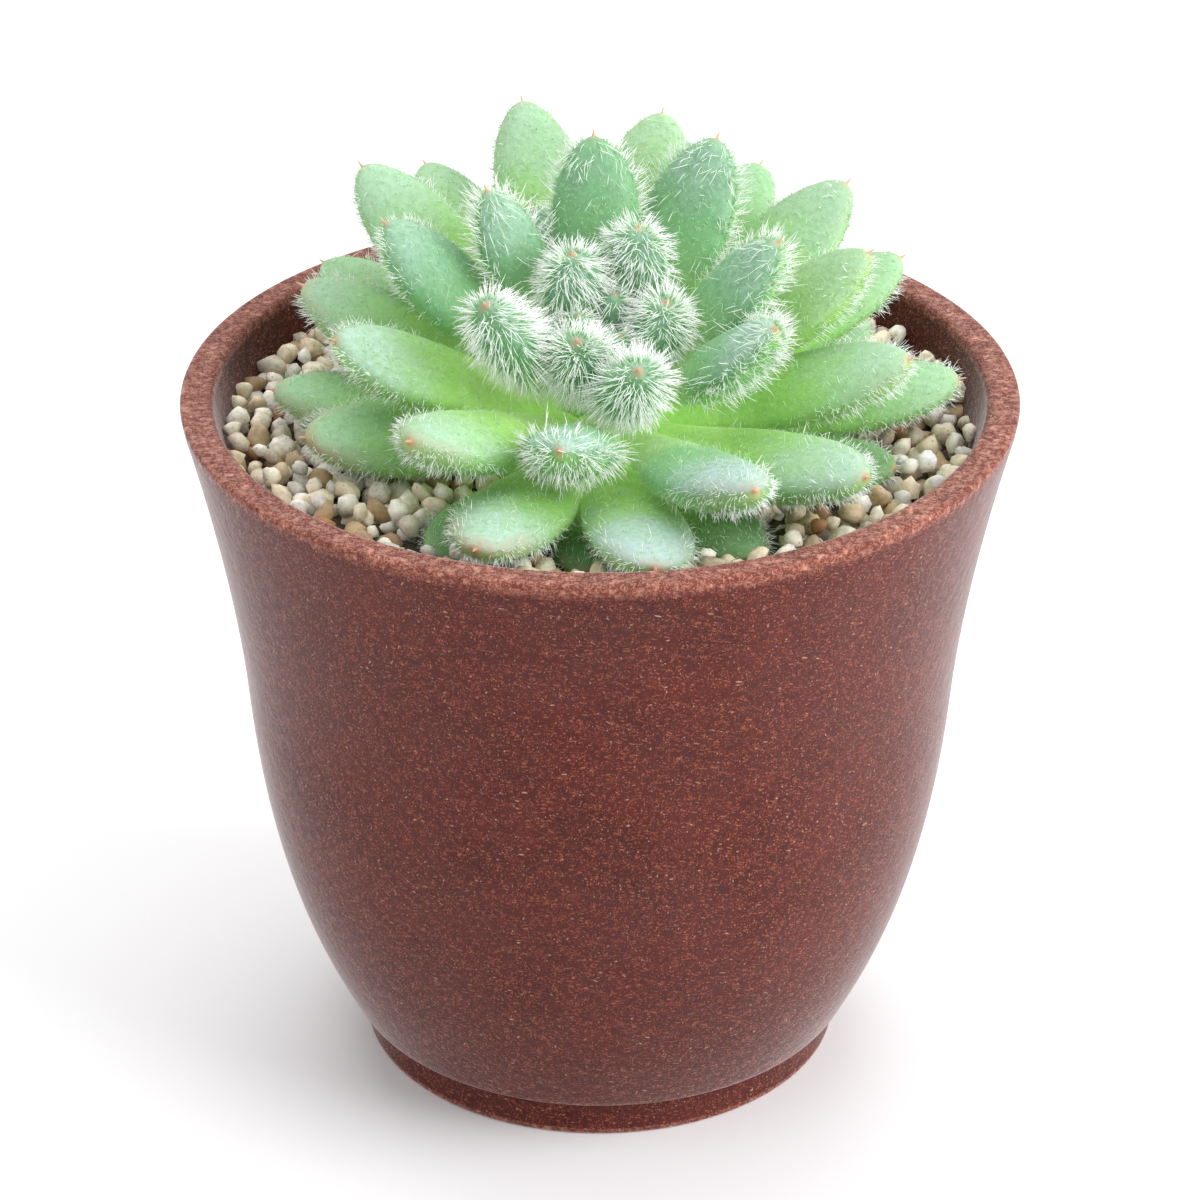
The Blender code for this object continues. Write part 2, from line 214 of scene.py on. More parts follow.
# Where each kind of hair grows: its share on the upper face, the margins, the lower face and the end, how much of
# the end's crowd stands on the upper face (crown), and where along the leaf it starts. Then its shortest and
# longest in millimetres, how far it lies towards the end (below 0, towards the base), the same on the upper face,
# how much it curls, and its thickness as a share of the usual.
HAIR_KINDS = {
    "shaggy": {
        "face": 1.0, "margin": 0.5, "lower": 1.0, "end": 0.9, "crown": 1.0, "start": 0.08,
        "lengths": (1.5, 2.8), "lie": -0.30, "face_lie": -0.45, "curl": 0.26, "thick": 1.05,
    },
    "fringed": {
        "face": 0.05, "margin": 2.4, "lower": 0.9, "end": 1.7, "crown": 0.6, "start": 0.35,
        "lengths": (1.1, 2.2), "lie": 0.35, "face_lie": -0.7, "curl": 0.55, "thick": 0.85,
    },
    "sparse": {
        "face": 0.01, "margin": 1.2, "lower": 0.45, "end": 0.75, "crown": 0.15, "start": 0.55,
        "lengths": (0.6, 1.25), "lie": 0.30, "face_lie": -0.3, "curl": 0.5, "thick": 0.68,
    },
}
HEART_HAIR_LENGTH = 0.75
DOWN_LENGTHS = (0.45, 1.00)
DOWN_RADII = (0.032, 0.050)
DOWN_WAVE = 0.22
HAIR_DEPTH, DOWN_DEPTH = 0.06 * MM, 0.03 * MM
STRAND_SIDES = 3
STRAND_THINNING = 0.72

# Shares of a strand's length at which it has a ring of points
HAIR_SHARES = (0.0, 0.3, 0.6, 0.85)
DOWN_SHARES = (0.0, 0.28, 0.52, 0.78)

# Stones: the layers' names, counts and depths, how much of two radii apart they rest, the steps along and round a
# stone, the flat faces that its shape starts from, and the dish in the grit as depths at distances from the stem
GRIT_LAYERS = (("grit_stones_upper", 700, 0.0), ("grit_stones_lower", 640, 1.5 * MM))
STONE_TOUCH = 0.92
STONE_ROWS, STONE_SIDES = 5, 8
STONE_FACES = 12
DISH_REACH = [8.7 * MM, 35 * MM, 39 * MM]
DISH_DEPTH = [2.4 * MM, 0.0, -0.5 * MM]
BED_DROP, BED_DISH = 2.9 * MM, 1.6 * MM
BED_SIDES = 96
BED_WAVES = 12

WAVE_SEED, HAIR_SEED, GRIT_SEED = 1000, 2024, 77

# Which way each lay of the pot's fibres is turned, in radians
FIBRE_TURNS = (
    (0.0, 0.0, 0.3), (0.5, 0.7, 1.9), (1.2, 0.2, 2.7), (0.3, 1.3, 0.9), (2.2, 0.9, 1.4), (0.9, 2.0, 2.3)
)

# Studio lights: where each stands and the side of its square
LIGHTS = {
    "key": ((0.80, -0.30, 0.50), 0.70),
    "fill": ((-0.70, -0.30, 0.45), 0.70),
    "top": ((-0.05, 0.35, 0.85), 0.80),
}
LIT_HEIGHT = 0.06
FLOOR_HALF = 3.0

# ---------------------------------------------------------------------------------------------------------------
# Surfaces


def eased(share):
    """0 to 1 with a level start and end."""
    share = np.clip(share, 0.0, 1.0)
    return share * share * (3.0 - 2.0 * share)


def unit(vectors):
    return vectors / np.maximum(np.linalg.norm(vectors, axis=-1, keepdims=True), 1e-12)


def bezier(start, pull_a, pull_b, end, count):
    """Points of a cubic curve, from its two ends and a handle for each."""
    t = np.linspace(0.0, 1.0, count)[:, None]
    return (1 - t) ** 3 * start + 3 * (1 - t) ** 2 * t * pull_a + 3 * (1 - t) * t**2 * pull_b + t**3 * end


def tube_faces(rows, sides):
    """Faces of a tube with a pole before its first ring and one after its last, as triangles and quads."""
    j = np.arange(sides)
    k = (j + 1) % sides
    first = np.stack([np.zeros(sides, int), 1 + k, 1 + j], axis=1)
    last_ring = 1 + (rows - 1) * sides
    last = np.stack([np.full(sides, 1 + rows * sides), last_ring + j, last_ring + k], axis=1)
    i = 1 + np.arange(rows - 1)[:, None] * sides
    quads = np.stack([i + j, i + k, i + sides + k, i + sides + j], axis=-1).reshape(-1, 4)
    return np.vstack([first, last]), quads


def tube_uv(along, sides):
    """UV corners for tube_faces: X runs round the tube and Y along it, from the first pole to the last."""
    j = np.arange(sides) / sides
    k = j + 1.0 / sides
    middle = (j + k) / 2
    rows = along[1:-1]

    def corner(x, y):
        return np.stack(np.broadcast_arrays(x, y), axis=-1)

    first = np.stack([corner(middle, along[0]), corner(k, rows[0]), corner(j, rows[0])], axis=1)
    last = np.stack([corner(middle, along[-1]), corner(j, rows[-1]), corner(k, rows[-1])], axis=1)
    low, high = rows[:-1, None], rows[1:, None]
    quads = np.stack([corner(j, low), corner(k, low), corner(k, high), corner(j, high)], axis=2)
    return np.concatenate([first.reshape(-1, 2), last.reshape(-1, 2), quads.reshape(-1, 2)])


def ring_faces(rows, sides):
    """Faces of a ring that closes both ways, as a tyre does."""
    i = np.arange(rows)[:, None]
    j = np.arange(sides)
    ni, nj = (i + 1) % rows, (j + 1) % sides
    quads = [i * sides + j, i * sides + nj, ni * sides + nj, ni * sides + j]
    return np.stack(quads, axis=-1).reshape(-1, 4)


def repeated(faces, stride, count):
    """The faces of one shape, repeated for as many shapes that follow one another in the list of points."""
    return (faces[None] + stride * np.arange(count)[:, None, None]).reshape(-1, faces.shape[1])


def add_piece(name, points, faces, material, uv=None, traits=None):
    """A mesh object from whole arrays. Its object stays at the origin and it rides on the root body."""
    mesh = bpy.data.meshes.new(name)
    points = np.asarray(points, np.float32).reshape(-1, 3)
    corners = np.concatenate([f.ravel() for f in faces]).astype(np.int32)
    sizes = np.concatenate([np.full(len(f), f.shape[1]) for f in faces])
    starts = np.concatenate([[0], np.cumsum(sizes)[:-1]]).astype(np.int32)
    mesh.vertices.add(len(points))
    mesh.vertices.foreach_set("co", points.ravel())
    mesh.loops.add(len(corners))
    mesh.loops.foreach_set("vertex_index", corners)
    mesh.polygons.add(len(sizes))
    mesh.polygons.foreach_set("loop_start", starts)
    mesh.update(calc_edges=True)
    if uv is not None:
        mesh.uv_layers.new(name="surface").uv.foreach_set("vector", uv.astype(np.float32).ravel())
    for trait, values in (traits or {}).items():
        layer = mesh.attributes.new(trait, "FLOAT", "POINT")
        layer.data.foreach_set("value", np.broadcast_to(values, len(points)).astype(np.float32))
    mesh.shade_smooth()
    mesh.materials.append(material)
    obj = bpy.data.objects.new(name, mesh)
    bpy.context.scene.collection.objects.link(obj)
    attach(obj, "root")
    return obj


# ---------------------------------------------------------------------------------------------------------------
# Pot


def leaning(angle, pull):
    """The handle of a curve that rises and leans outwards by the angle."""
    return np.array([math.sin(angle) * pull, math.cos(angle) * pull])


def body_outline():
    """(radius, height) down the pot's outer side, from the rim to the top of the foot, as two smooth curves."""
    rim = np.array([RIM_RADIUS, POT_TOP])
    above, below = leaning(WAIST_LEAN, WAIST_PULL_UP), leaning(WAIST_LEAN, WAIST_PULL_DOWN)
    upper = bezier(rim, rim - leaning(RIM_LEAN, RIM_PULL), WAIST + above, WAIST, OUTLINE_STEPS)
    lower = bezier(WAIST, WAIST - below, BOWL + leaning(BOWL_LEAN, BOWL_PULL), BOWL, OUTLINE_STEPS)
    return np.vstack([upper, lower[1:]])


def outer_radius(height):
    radii, heights = body_outline()[::-1].T
    return np.interp(height, heights, radii)


def inner_radius(height):
    return outer_radius(height) - WALL


def rounded(corner, before, after, radius, count):
    """A corner of the profile as a small curve that starts and ends the radius away from it."""
    a = corner + unit(before - corner) * radius
    b = corner + unit(after - corner) * radius
    t = np.linspace(0.0, 1.0, count)[:, None]
    return (1 - t) ** 2 * a + 2 * (1 - t) * t * corner + t**2 * b


def pot_profile():
    """The pot's closed profile, down the outside and up the inside, with how worn and how far inside each point is."""
    body = body_outline()
    top_out = np.array([RIM_REACH, POT_TOP])
    top_in = np.array([RIM_REACH - WALL, POT_TOP])
    below_out = body[body[:, 1] < POT_TOP - RIM_BAND]
    inside = np.array([[inner_radius(h), h] for h in np.linspace(FLOOR_LEVEL, POT_TOP - RIM_BAND, 30)])
    foot_top = np.array([FOOT_RADIUS, BOWL[1]])
    foot_low = np.array([FOOT_RADIUS, 0.0])
    ring_low = np.array([FOOT_RADIUS - FOOT_RING_WIDTH, 0.0])
    ring_high = np.array([FOOT_RADIUS - FOOT_RING_WIDTH, FOOT_RECESS])
    drain_low = np.array([DRAIN_RADIUS, FOOT_RECESS])
    drain_high = np.array([DRAIN_RADIUS, FLOOR_LEVEL])
    parts = [
        (rounded(top_out, top_in, below_out[0], 0.7 * MM, 7), 1.0, 0.0),
        (below_out[:-1], 0.0, 0.0),
        (rounded(BOWL, below_out[-2], foot_top, 0.35 * MM, 4), 0.25, 0.0),
        (rounded(foot_top, BOWL, foot_low, 0.35 * MM, 4), 0.0, 0.0),
        (np.linspace(foot_top - [0, 0.8 * MM], foot_low + [0, 0.9 * MM], 6), 0.0, 0.0),
        (rounded(foot_low, foot_top, ring_low, 0.6 * MM, 5), 0.8, 0.0),
        (rounded(ring_low, foot_low, ring_high, 0.4 * MM, 4), 0.5, 0.0),
        (rounded(ring_high, ring_low, drain_low, 0.5 * MM, 4), 0.0, 0.3),
        (np.linspace(ring_high - [2 * MM, 0], drain_low + [2 * MM, 0], 6), 0.0, 0.3),
        (rounded(drain_low, ring_high, drain_high, 0.4 * MM, 4), 0.2, 0.3),
        (rounded(drain_high, drain_low, inside[0], 0.4 * MM, 4), 0.0, 1.0),
        (np.linspace(drain_high + [2 * MM, 0], inside[0] - [2 * MM, 0], 6), 0.0, 1.0),
        (inside[1:], 0.0, 1.0),
        (rounded(top_in, inside[-1], top_out, 0.7 * MM, 7), 0.7, 0.4),
        (np.linspace(top_in + [0.9 * MM, 0], top_out - [0.9 * MM, 0], 4), 0.9, 0.2),
    ]
    points = np.vstack([p for p, _, _ in parts])
    wear = np.concatenate([np.full(len(p), w) for p, w, _ in parts])
    within = np.concatenate([np.full(len(p), i) for p, _, i in parts])
    return points, wear, within


def pot_surface(sides):
    """The profile turned about Z, and faces that point outwards."""
    profile, wear, within = pot_profile()
    angles = TAU * np.arange(sides) / sides
    radius, height = profile[:, :1], np.broadcast_to(profile[:, 1:], (len(profile), sides))
    points = np.stack([radius * np.cos(angles), radius * np.sin(angles), height], axis=-1)
    faces = ring_faces(len(profile), sides)[:, ::-1]
    return points.reshape(-1, 3), faces, np.repeat(wear, sides), np.repeat(within, sides)


# ---------------------------------------------------------------------------------------------------------------
# Leaves


class Leaf:
    """One leaf: a surface over the share u of its length and the angle v round it, where v of a quarter turn is up.

    Its spine starts at the stem and its lean eases towards the stem's axis by the ring's curl. Round the spine it
    is an oval, wide across and thin through, that widens with an eased share to WIDEST_AT and closes in a round cap.
    """

    def __init__(self, ring, index, plan, figures):
        width, thickness, curl, drop, base_width, base_thickness, point, self.taper = plan["shape"]
        direction, lean, length, roll, fullness = figures
        self.name = f"{ring}_leaf_{index:02d}"
        self.ring = ring
        self.slot = plan["slot"]
        self.hair_kind, self.hair_count = LEAF_HAIRS.get(self.name, plan["hairs"])
        self.width = width * fullness * MM
        self.thickness = thickness * (1.0 + fullness) / 2 * MM
        self.length = length * MM
        self.base_width, self.base_thickness = base_width, base_thickness
        self.point = point * MM
        self.lean, self.curl, roll = np.radians((lean, curl, roll))
        direction = math.radians(direction)
        self.outwards = math.cos(direction) * SIDEWAYS + math.sin(direction) * TO_BACK
        self.across = np.cross(STEM_AXIS, self.outwards)
        self.cos_roll, self.sin_roll = math.cos(roll), math.sin(roll)
        reach = (STEM_RADIUS + 0.4 * MM) * min(1.0, 1.15 * math.sin(self.lean))
        height = STEM_DOME_HEIGHT * math.cos(self.lean) - LOWEST_LEAF_DROP - drop * MM
        self.start = CROWN + reach * self.outwards + height * STEM_AXIS
        self.waves = np.random.default_rng(WAVE_SEED + 61 * index + len(ring)).uniform(0.0, TAU, 4)

    def heading(self, u):
        lean = (self.lean + self.curl * (0.5 - u))[..., None]
        return np.cos(lean) * STEM_AXIS + np.sin(lean) * self.outwards

    def surface(self, u, v):
        """Points at u and v, on a spine that bends at an even rate, with a slight swell so that no two are alike."""
        here = self.lean + self.curl * (0.5 - u)
        first = self.lean + self.curl * 0.5
        out = (np.cos(here) - math.cos(first)) / self.curl * self.length
        along = (math.sin(first) - np.sin(here)) / self.curl * self.length
        spine = out[..., None] * self.outwards + along[..., None] * STEM_AXIS
        upper = np.sin(here)[..., None] * STEM_AXIS - np.cos(here)[..., None] * self.outwards
        side = self.cos_roll * self.across + self.sin_roll * upper
        face = self.cos_roll * upper - self.sin_roll * self.across
        past = np.clip((u - WIDEST_AT) / (1.0 - WIDEST_AT), 0.0, 1.0)
        cap = 1.0 - past**2.3
        base_round = np.sqrt(1.0 - (1.0 - np.clip(u / 0.035, 0.0, 1.0)) ** 2)
        wide = self.base_width + (1 - self.base_width) * eased(u / WIDEST_AT)
        deep = self.base_thickness + (1 - self.base_thickness) * eased(u / (0.85 * WIDEST_AT))
        a, b, c, d = self.waves
        swell = 1.0 + 0.016 * np.sin(7 * u + a) * np.cos(v + b) + 0.012 * np.sin(13 * u + c) * np.cos(2 * v + d)
        half_width = self.width / 2 * wide * cap**self.taper * base_round * swell
        depth = self.thickness * deep * cap**0.45 * base_round * swell
        bulge = np.where(np.sin(v) > 0, UPPER_SHARE, 1.0 - UPPER_SHARE) * np.sin(v)
        return self.start + (spine + (half_width * np.cos(v))[..., None] * side + (depth * bulge)[..., None] * face)

    def point_rings(self, v):
        """The horny point: rings that narrow along the heading from the end of the leaf, and its very tip."""
        end = np.full(1, LEAF_END)
        centre = (self.surface(end, np.zeros(1)) + self.surface(end, np.full(1, math.pi))) / 2
        heading = self.heading(end)
        upper = unit(np.cross(heading, self.across))
        spokes = np.cos(v)[:, None] * self.across + np.sin(v)[:, None] * upper
        length = 0.85 * self.point + (1.0 - LEAF_END) * self.length
        radius = min(1.0, self.point / MM + 0.3) * POINT_RADII
        along = centre + POINT_REACH[:, None] * length * heading
        return along[:, None] + radius[:, None, None] * spokes[None], centre + length * heading

    def normals(self, u, v):
        """Outward unit normals, as the cross product of the steps round and along the surface."""
        round_, along = self.steps(u, v)
        return unit(np.cross(round_, along))

    def steps(self, u, v, step=1e-3):
        """A short step round the surface and one along it, at each u and v."""
        round_ = self.surface(u, v + step) - self.surface(u, v - step)
        return round_, self.surface(u + step, v) - self.surface(u - step, v)

    def mesh(self, rows, sides):
        """Points, faces and UV of the leaf, with a small horny point drawn out at its end."""
        body = LEAF_END * (0.5 - 0.5 * np.cos(np.linspace(0.0, math.pi, rows + 2)))[1:]
        v = TAU * np.arange(sides) / sides
        grid_u, grid_v = np.meshgrid(body, v, indexing="ij")
        rings = self.surface(grid_u, grid_v)
        point, tip = self.point_rings(v)
        base = self.surface(np.zeros(1), np.zeros(1))
        points = np.vstack([base, rings.reshape(-1, 3), point.reshape(-1, 3), tip])
        along = np.concatenate([[0.0], 0.98 * body / LEAF_END, [0.985, 0.988, 0.991, 0.994, 0.997], [1.0]])
        return points, tube_faces(len(along) - 2, sides), tube_uv(along, sides)


def leaves_of_plant():
    """Every leaf of the table, from the heart outwards."""
    return [
        Leaf(ring, index, plan, figures)
        for ring, plan in RINGS.items()
        for index, figures in enumerate(plan["leaves"], start=1)
    ]


# ---------------------------------------------------------------------------------------------------------------
# Hairs


def hair_density(kind, u, v):
    """How thickly hairs stand at u and v: a share for each face and for the margins, and a crowd at the end."""
    grown = eased((u - kind["start"]) / 0.3)
    up = np.sin(v)
    faces = kind["face"] * np.clip(up, 0, 1) ** 0.5 + kind["lower"] * np.clip(-up, 0, 1) ** 0.5
    margin = kind["margin"] * np.exp(-((up / 0.35) ** 2))
    end = kind["end"] * eased((u - 0.82) / 0.14) * np.where(up > 0.25, kind["crown"], 1.0)
    return (faces + margin) * grown + end


def scattered(leaf, density, count, rng):
    """Places on a leaf picked from a grid of small cells, each as likely as its area times the density there."""
    edges_u = np.linspace(0.03, 0.988, 61)
    edges_v = np.linspace(0.0, TAU, 49)
    middles = [(edges[1:] + edges[:-1]) / 2 for edges in (edges_u, edges_v)]
    u, v = np.meshgrid(*middles, indexing="ij")
    round_, along = leaf.steps(u, v)
    weight = np.linalg.norm(np.cross(round_, along), axis=-1) * density(u, v)
    cells = rng.choice(u.size, size=count, p=(weight / weight.sum()).ravel())
    du, dv = edges_u[1] - edges_u[0], edges_v[1] - edges_v[0]
    picked_u = u.ravel()[cells] + rng.uniform(-0.5, 0.5, count) * du
    picked_v = v.ravel()[cells] + rng.uniform(-0.5, 0.5, count) * dv
    return picked_u, picked_v


def strand_points(roots, directions, bends, lengths, radii, shares, wave=0.0):
    """Thin tapering strands: the point at share t is root + length * (t * direction + t * t * bend).

    A wave sways it once to each side on the way. Each thins evenly to its end and starts a little below the skin.
    """
    helper = np.where(np.abs(directions[:, 2:]) < 0.9, [[0.0, 0.0, 1.0]], [[1.0, 0.0, 0.0]])
    first = unit(np.cross(directions, helper))
    second = np.cross(directions, first)
    t = np.asarray(shares)[None, :, None]
    length = lengths[:, None, None]
    sway = wave * np.sin(TAU * t) * second[:, None]
    path = roots[:, None] + length * (t * directions[:, None] + t * t * bends[:, None] + sway)
    angles = TAU * np.arange(STRAND_SIDES)[:, None] / STRAND_SIDES
    spokes = first[:, None] * np.cos(angles) + second[:, None] * np.sin(angles)
    thick = radii[:, None, None, None] * (1.0 - STRAND_THINNING * t[..., None])
    rings = path[:, :, None] + thick * spokes[:, None]
    tips = roots + lengths[:, None] * (directions + bends)
    base = roots - radii[:, None] * directions
    count = len(roots)
    return np.concatenate([base[:, None], rings.reshape(count, -1, 3), tips[:, None]], axis=1)


def hairs_of(leaf, looks, rng):
    """The long hairs of a leaf, more upright on the young leaves and lying towards the end on the others."""
    kind = HAIR_KINDS[leaf.hair_kind]
    count = int(leaf.hair_count * looks.hair_fullness)
    u, v = scattered(leaf, lambda a, b: hair_density(kind, a, b), count, rng)
    normal = leaf.normals(u, v)
    heading = leaf.heading(u)
    loose = rng.normal(0.0, 0.20, (count, 3))
    lie = np.where(np.sin(v) > 0.35, kind["face_lie"], kind["lie"])[:, None]
    direction = unit(normal + lie * heading + loose)
    bend = rng.normal(0.0, kind["curl"] / 2, (count, 3)) + 0.35 * lie * heading
    low, high = kind["lengths"]
    length = rng.uniform(low, high, count) * MM * looks.hair_length
    length *= 0.60 + 0.40 * eased(u / 0.6)
    if leaf.ring == "heart":
        length *= HEART_HAIR_LENGTH
    radius = kind["thick"] * looks.hair_thickness / 2 * rng.uniform(0.75, 1.2, count)
    roots = leaf.surface(u, v) - HAIR_DEPTH * normal
    return strand_points(roots, direction, bend, length, radius, HAIR_SHARES)


def down_of(leaf, looks, rng):
    """Short down all over a leaf: curly strands that lie close to the skin, every way."""
    count = int(leaf.length * leaf.width * looks.down_density * 1e6)
    u, v = scattered(leaf, lambda a, b: 0.25 + eased((a - 0.1) / 0.4), count, rng)
    normal = leaf.normals(u, v)
    direction = unit(0.42 * normal + rng.normal(0.0, 0.7, (count, 3)))
    length = rng.uniform(*DOWN_LENGTHS, count) * MM
    radius = rng.uniform(*DOWN_RADII, count) * MM
    roots = leaf.surface(u, v) - DOWN_DEPTH * normal
    bend = rng.normal(0.0, 0.50, (count, 3)) - 0.35 * normal
    return strand_points(roots, direction, bend, length, radius, DOWN_SHARES, DOWN_WAVE)


def repeat_tube(points, rows, sides):
    """Faces for many like tubes whose points follow one another."""
    triangles, quads = tube_faces(rows, sides)
    stride = rows * sides + 2
    faces = [repeated(triangles, stride, len(points))]
    if len(quads):
        faces.append(repeated(quads, stride, len(points)))
    return faces


def repeat_tube_uv(along, sides, count):
    """UV for repeat_tube: all the triangles come first and then all the quads."""
    corners = tube_uv(along, sides)
    split = 2 * sides * 3
    return np.concatenate([np.tile(corners[:split], (count, 1)), np.tile(corners[split:], (count, 1))])


def add_strands(name, strands, shares, material):
    """One piece from the strands of several leaves, less any that rise above the object's own height."""
    points = np.concatenate(strands)
    points = points[points[:, :, 2].max(axis=1) < OBJECT_TOP]
    faces = repeat_tube(points, len(shares), STRAND_SIDES)
    along = np.concatenate([[0.0], np.asarray(shares), [1.0]])
    along[1] = 0.02
    uv = repeat_tube_uv(along, STRAND_SIDES, len(points))
    return add_piece(name, points.reshape(-1, 3), faces, material, uv)


# ---------------------------------------------------------------------------------------------------------------
# Grit


def turned_at_random(rng, count):
    """Rotation matrices spread evenly over all directions, from random unit quaternions."""
    q = unit(rng.normal(size=(count, 4)))
    w, x, y, z = q.T
    rows = [
        [1 - 2 * (y * y + z * z), 2 * (x * y - z * w), 2 * (x * z + y * w)],
        [2 * (x * y + z * w), 1 - 2 * (x * x + z * z), 2 * (y * z - x * w)],
        [2 * (x * z - y * w), 2 * (y * z + x * w), 1 - 2 * (x * x + y * y)],
    ]
    return np.moveaxis(np.array(rows), -1, 0)


def grain_shapes(rng, count):
    """Rounded, slightly angular stones: the radius in each direction is the soft minimum of some random planes.

    Each stone is then drawn out by a different amount along three directions and turned at random.
    """
    polar = np.pi * np.arange(1, STONE_ROWS + 1) / (STONE_ROWS + 1)
    around = TAU * np.arange(STONE_SIDES) / STONE_SIDES
    polar, around = np.meshgrid(polar, around, indexing="ij")
    flat = np.sin(polar)
    ring = np.stack([flat * np.cos(around), flat * np.sin(around), -np.cos(polar)], axis=-1)
    directions = np.vstack([[[0, 0, -1]], ring.reshape(-1, 3), [[0, 0, 1]]])
    planes = unit(rng.normal(size=(count, STONE_FACES, 3)))
    heights = rng.uniform(0.66, 1.05, (count, STONE_FACES, 1))
    facing = np.clip(planes @ directions.T, 0.0, 1.0) / heights
    radius = (facing**14).sum(axis=1) ** (-1 / 14)
    radius = np.minimum(radius, 1.25)[..., None]
    stretch = rng.uniform((0.9, 0.78, 0.62), (1.15, 0.95, 0.85), (count, 3))[:, None]
    shapes = directions[None] * radius * stretch
    return np.einsum("nij,nkj->nki", turned_at_random(rng, count), shapes)


def spread_in_disc(rng, radii, reach, rounds=90):
    """Places for stones in a disc: they start at random and push one another apart until they just touch."""
    count = len(radii)
    angle = rng.uniform(0, TAU, count)
    far = np.sqrt(rng.uniform(0, 1, count)) * reach
    place = np.stack([far * np.cos(angle), far * np.sin(angle)], axis=1)
    touch = STONE_TOUCH * (radii[:, None] + radii[None])
    np.fill_diagonal(touch, 0.0)
    for _ in range(rounds):
        apart = place[:, None] - place[None]
        distance = np.maximum(np.linalg.norm(apart, axis=2), 1e-7)
        push = np.clip(touch - distance, 0.0, None) / distance
        place = place + 0.35 * (push[..., None] * apart).sum(axis=1)
        far = np.linalg.norm(place, axis=1)
        limit = reach - radii
        place *= np.minimum(1.0, limit / np.maximum(far, 1e-9))[:, None]
    return place


def lowest_leaf_over(place, radii, leaf_points):
    """The lowest point of any leaf above each stone's disc, or a high level where there is none."""
    distance = np.linalg.norm(place[:, None] - leaf_points[None, :, :2], axis=2)
    over = distance < 0.95 * radii[:, None]
    return np.where(over, leaf_points[None, :, 2], 1.0).min(axis=1)


# ---------------------------------------------------------------------------------------------------------------
# Node building


FLOAT, COLOUR, VECTOR = "NodeSocketFloat", "NodeSocketColor", "NodeSocketVector"


class NodeMaker:
    """Adds nodes to one tree. A value given for a socket is linked if it is a socket, and set if it is not."""

    def __init__(self, tree):
        self.tree = tree

    def fill(self, sockets, values):
        for key, value in values.items():
            if isinstance(value, bpy.types.NodeSocket):
                self.tree.links.new(value, sockets[key])
            else:
                sockets[key].default_value = value

    def add(self, kind, values=None, **settings):
        node = self.tree.nodes.new(kind)
        for key, value in settings.items():
            setattr(node, key, value)
        self.fill(node.inputs, values or {})
        return node.outputs

    def math(self, operation, a, b=0.0):
        return self.add("ShaderNodeMath", {0: a, 1: b}, operation=operation)[0]

    def times(self, a, b):
        return self.math("MULTIPLY", a, b)

    def plus(self, a, b):
        return self.math("ADD", a, b)

    def vector_math(self, operation, a, b):
        return self.add("ShaderNodeVectorMath", {0: a, 1: b}, operation=operation)[0]

    def mix(self, share, a, b, blend="MIX"):
        return self.add("ShaderNodeMix", {0: share, 6: a, 7: b}, data_type="RGBA", blend_type=blend)[2]

    def toned(self, shade, value):
        """The colour made darker or lighter by the value."""
        grey = self.add("ShaderNodeCombineColor", {0: value, 1: value, 2: value})[0]
        return self.mix(1.0, shade, grey, "MULTIPLY")

    def noise(self, vector, scale, detail=3.0, roughness=0.55):
        values = {"Vector": vector, "Scale": scale, "Detail": detail, "Roughness": roughness}
        return self.add("ShaderNodeTexNoise", values)["Fac"]

    def cells(self, vector, scale):
        """The distance to the middle of the nearest cell, and that cell's own random colour."""
        found = self.add("ShaderNodeTexVoronoi", {"Vector": vector, "Scale": scale})
        return found["Distance"], found["Color"]

    def channels(self, shade):
        return self.add("ShaderNodeSeparateColor", {0: shade})

    def axes(self, vector):
        return self.add("ShaderNodeSeparateXYZ", {0: vector})

    def eased(self, value, low, high, floor=0.0, ceiling=1.0):
        values = {"Value": value, "From Min": low, "From Max": high, "To Min": floor, "To Max": ceiling}
        return self.add("ShaderNodeMapRange", values, interpolation_type="SMOOTHSTEP")["Result"]

    def ramp(self, share, first, last, between):
        """A colour for the share, from the first to the last by way of each (share, colour) between them."""
        node = self.tree.nodes.new("ShaderNodeValToRGB")
        self.fill(node.inputs, {0: share})
        stops = node.color_ramp.elements
        stops[0].position, stops[0].color = 0.0, colour(first)
        stops[1].position, stops[1].color = 1.0, colour(last)
        for at, shade in between:
            stops.new(at).color = colour(shade)
        return node.outputs["Color"]

    def bump(self, height, strength, distance):
        values = {"Strength": strength, "Distance": distance, "Height": height}
        return self.add("ShaderNodeBump", values)["Normal"]

    def place(self, tree, values):
        return self.add("ShaderNodeGroup", values, node_tree=tree)

    def object_coordinates(self):
        return self.add("ShaderNodeTexCoord")["Object"]

    def surface_uv(self):
        return self.axes(self.add("ShaderNodeUVMap", uv_map="surface")["UV"])

    def trait(self, name):
        """A number that a mesh carries at each of its points."""
        return self.add("ShaderNodeAttribute", attribute_name=name)["Fac"]

    def surface(self, **values):
        """Links or sets the shader's sockets, which are named with underscores for spaces."""
        shader = self.tree.nodes["Principled BSDF"]
        self.fill(shader.inputs, {key.replace("_", " "): value for key, value in values.items()})


def new_group(name, inputs, *outputs):
    """A shader node group. Each input is a name with its kind, or with a number that is its default."""
    group = bpy.data.node_groups.new(name, "ShaderNodeTree")
    for label, given in inputs.items():
        number = isinstance(given, float)
        socket = group.interface.new_socket(label, in_out="INPUT", socket_type=FLOAT if number else given)
        if number:
            socket.default_value = given
    for label, kind in outputs:
        group.interface.new_socket(label, in_out="OUTPUT", socket_type=kind)
    entry = group.nodes.new("NodeGroupInput")
    leave = group.nodes.new("NodeGroupOutput")
    return group, NodeMaker(group), entry.outputs, leave.inputs


def new_material(name):
    material = bpy.data.materials.new(name)
    material.use_nodes = True
    return material, NodeMaker(material.node_tree)


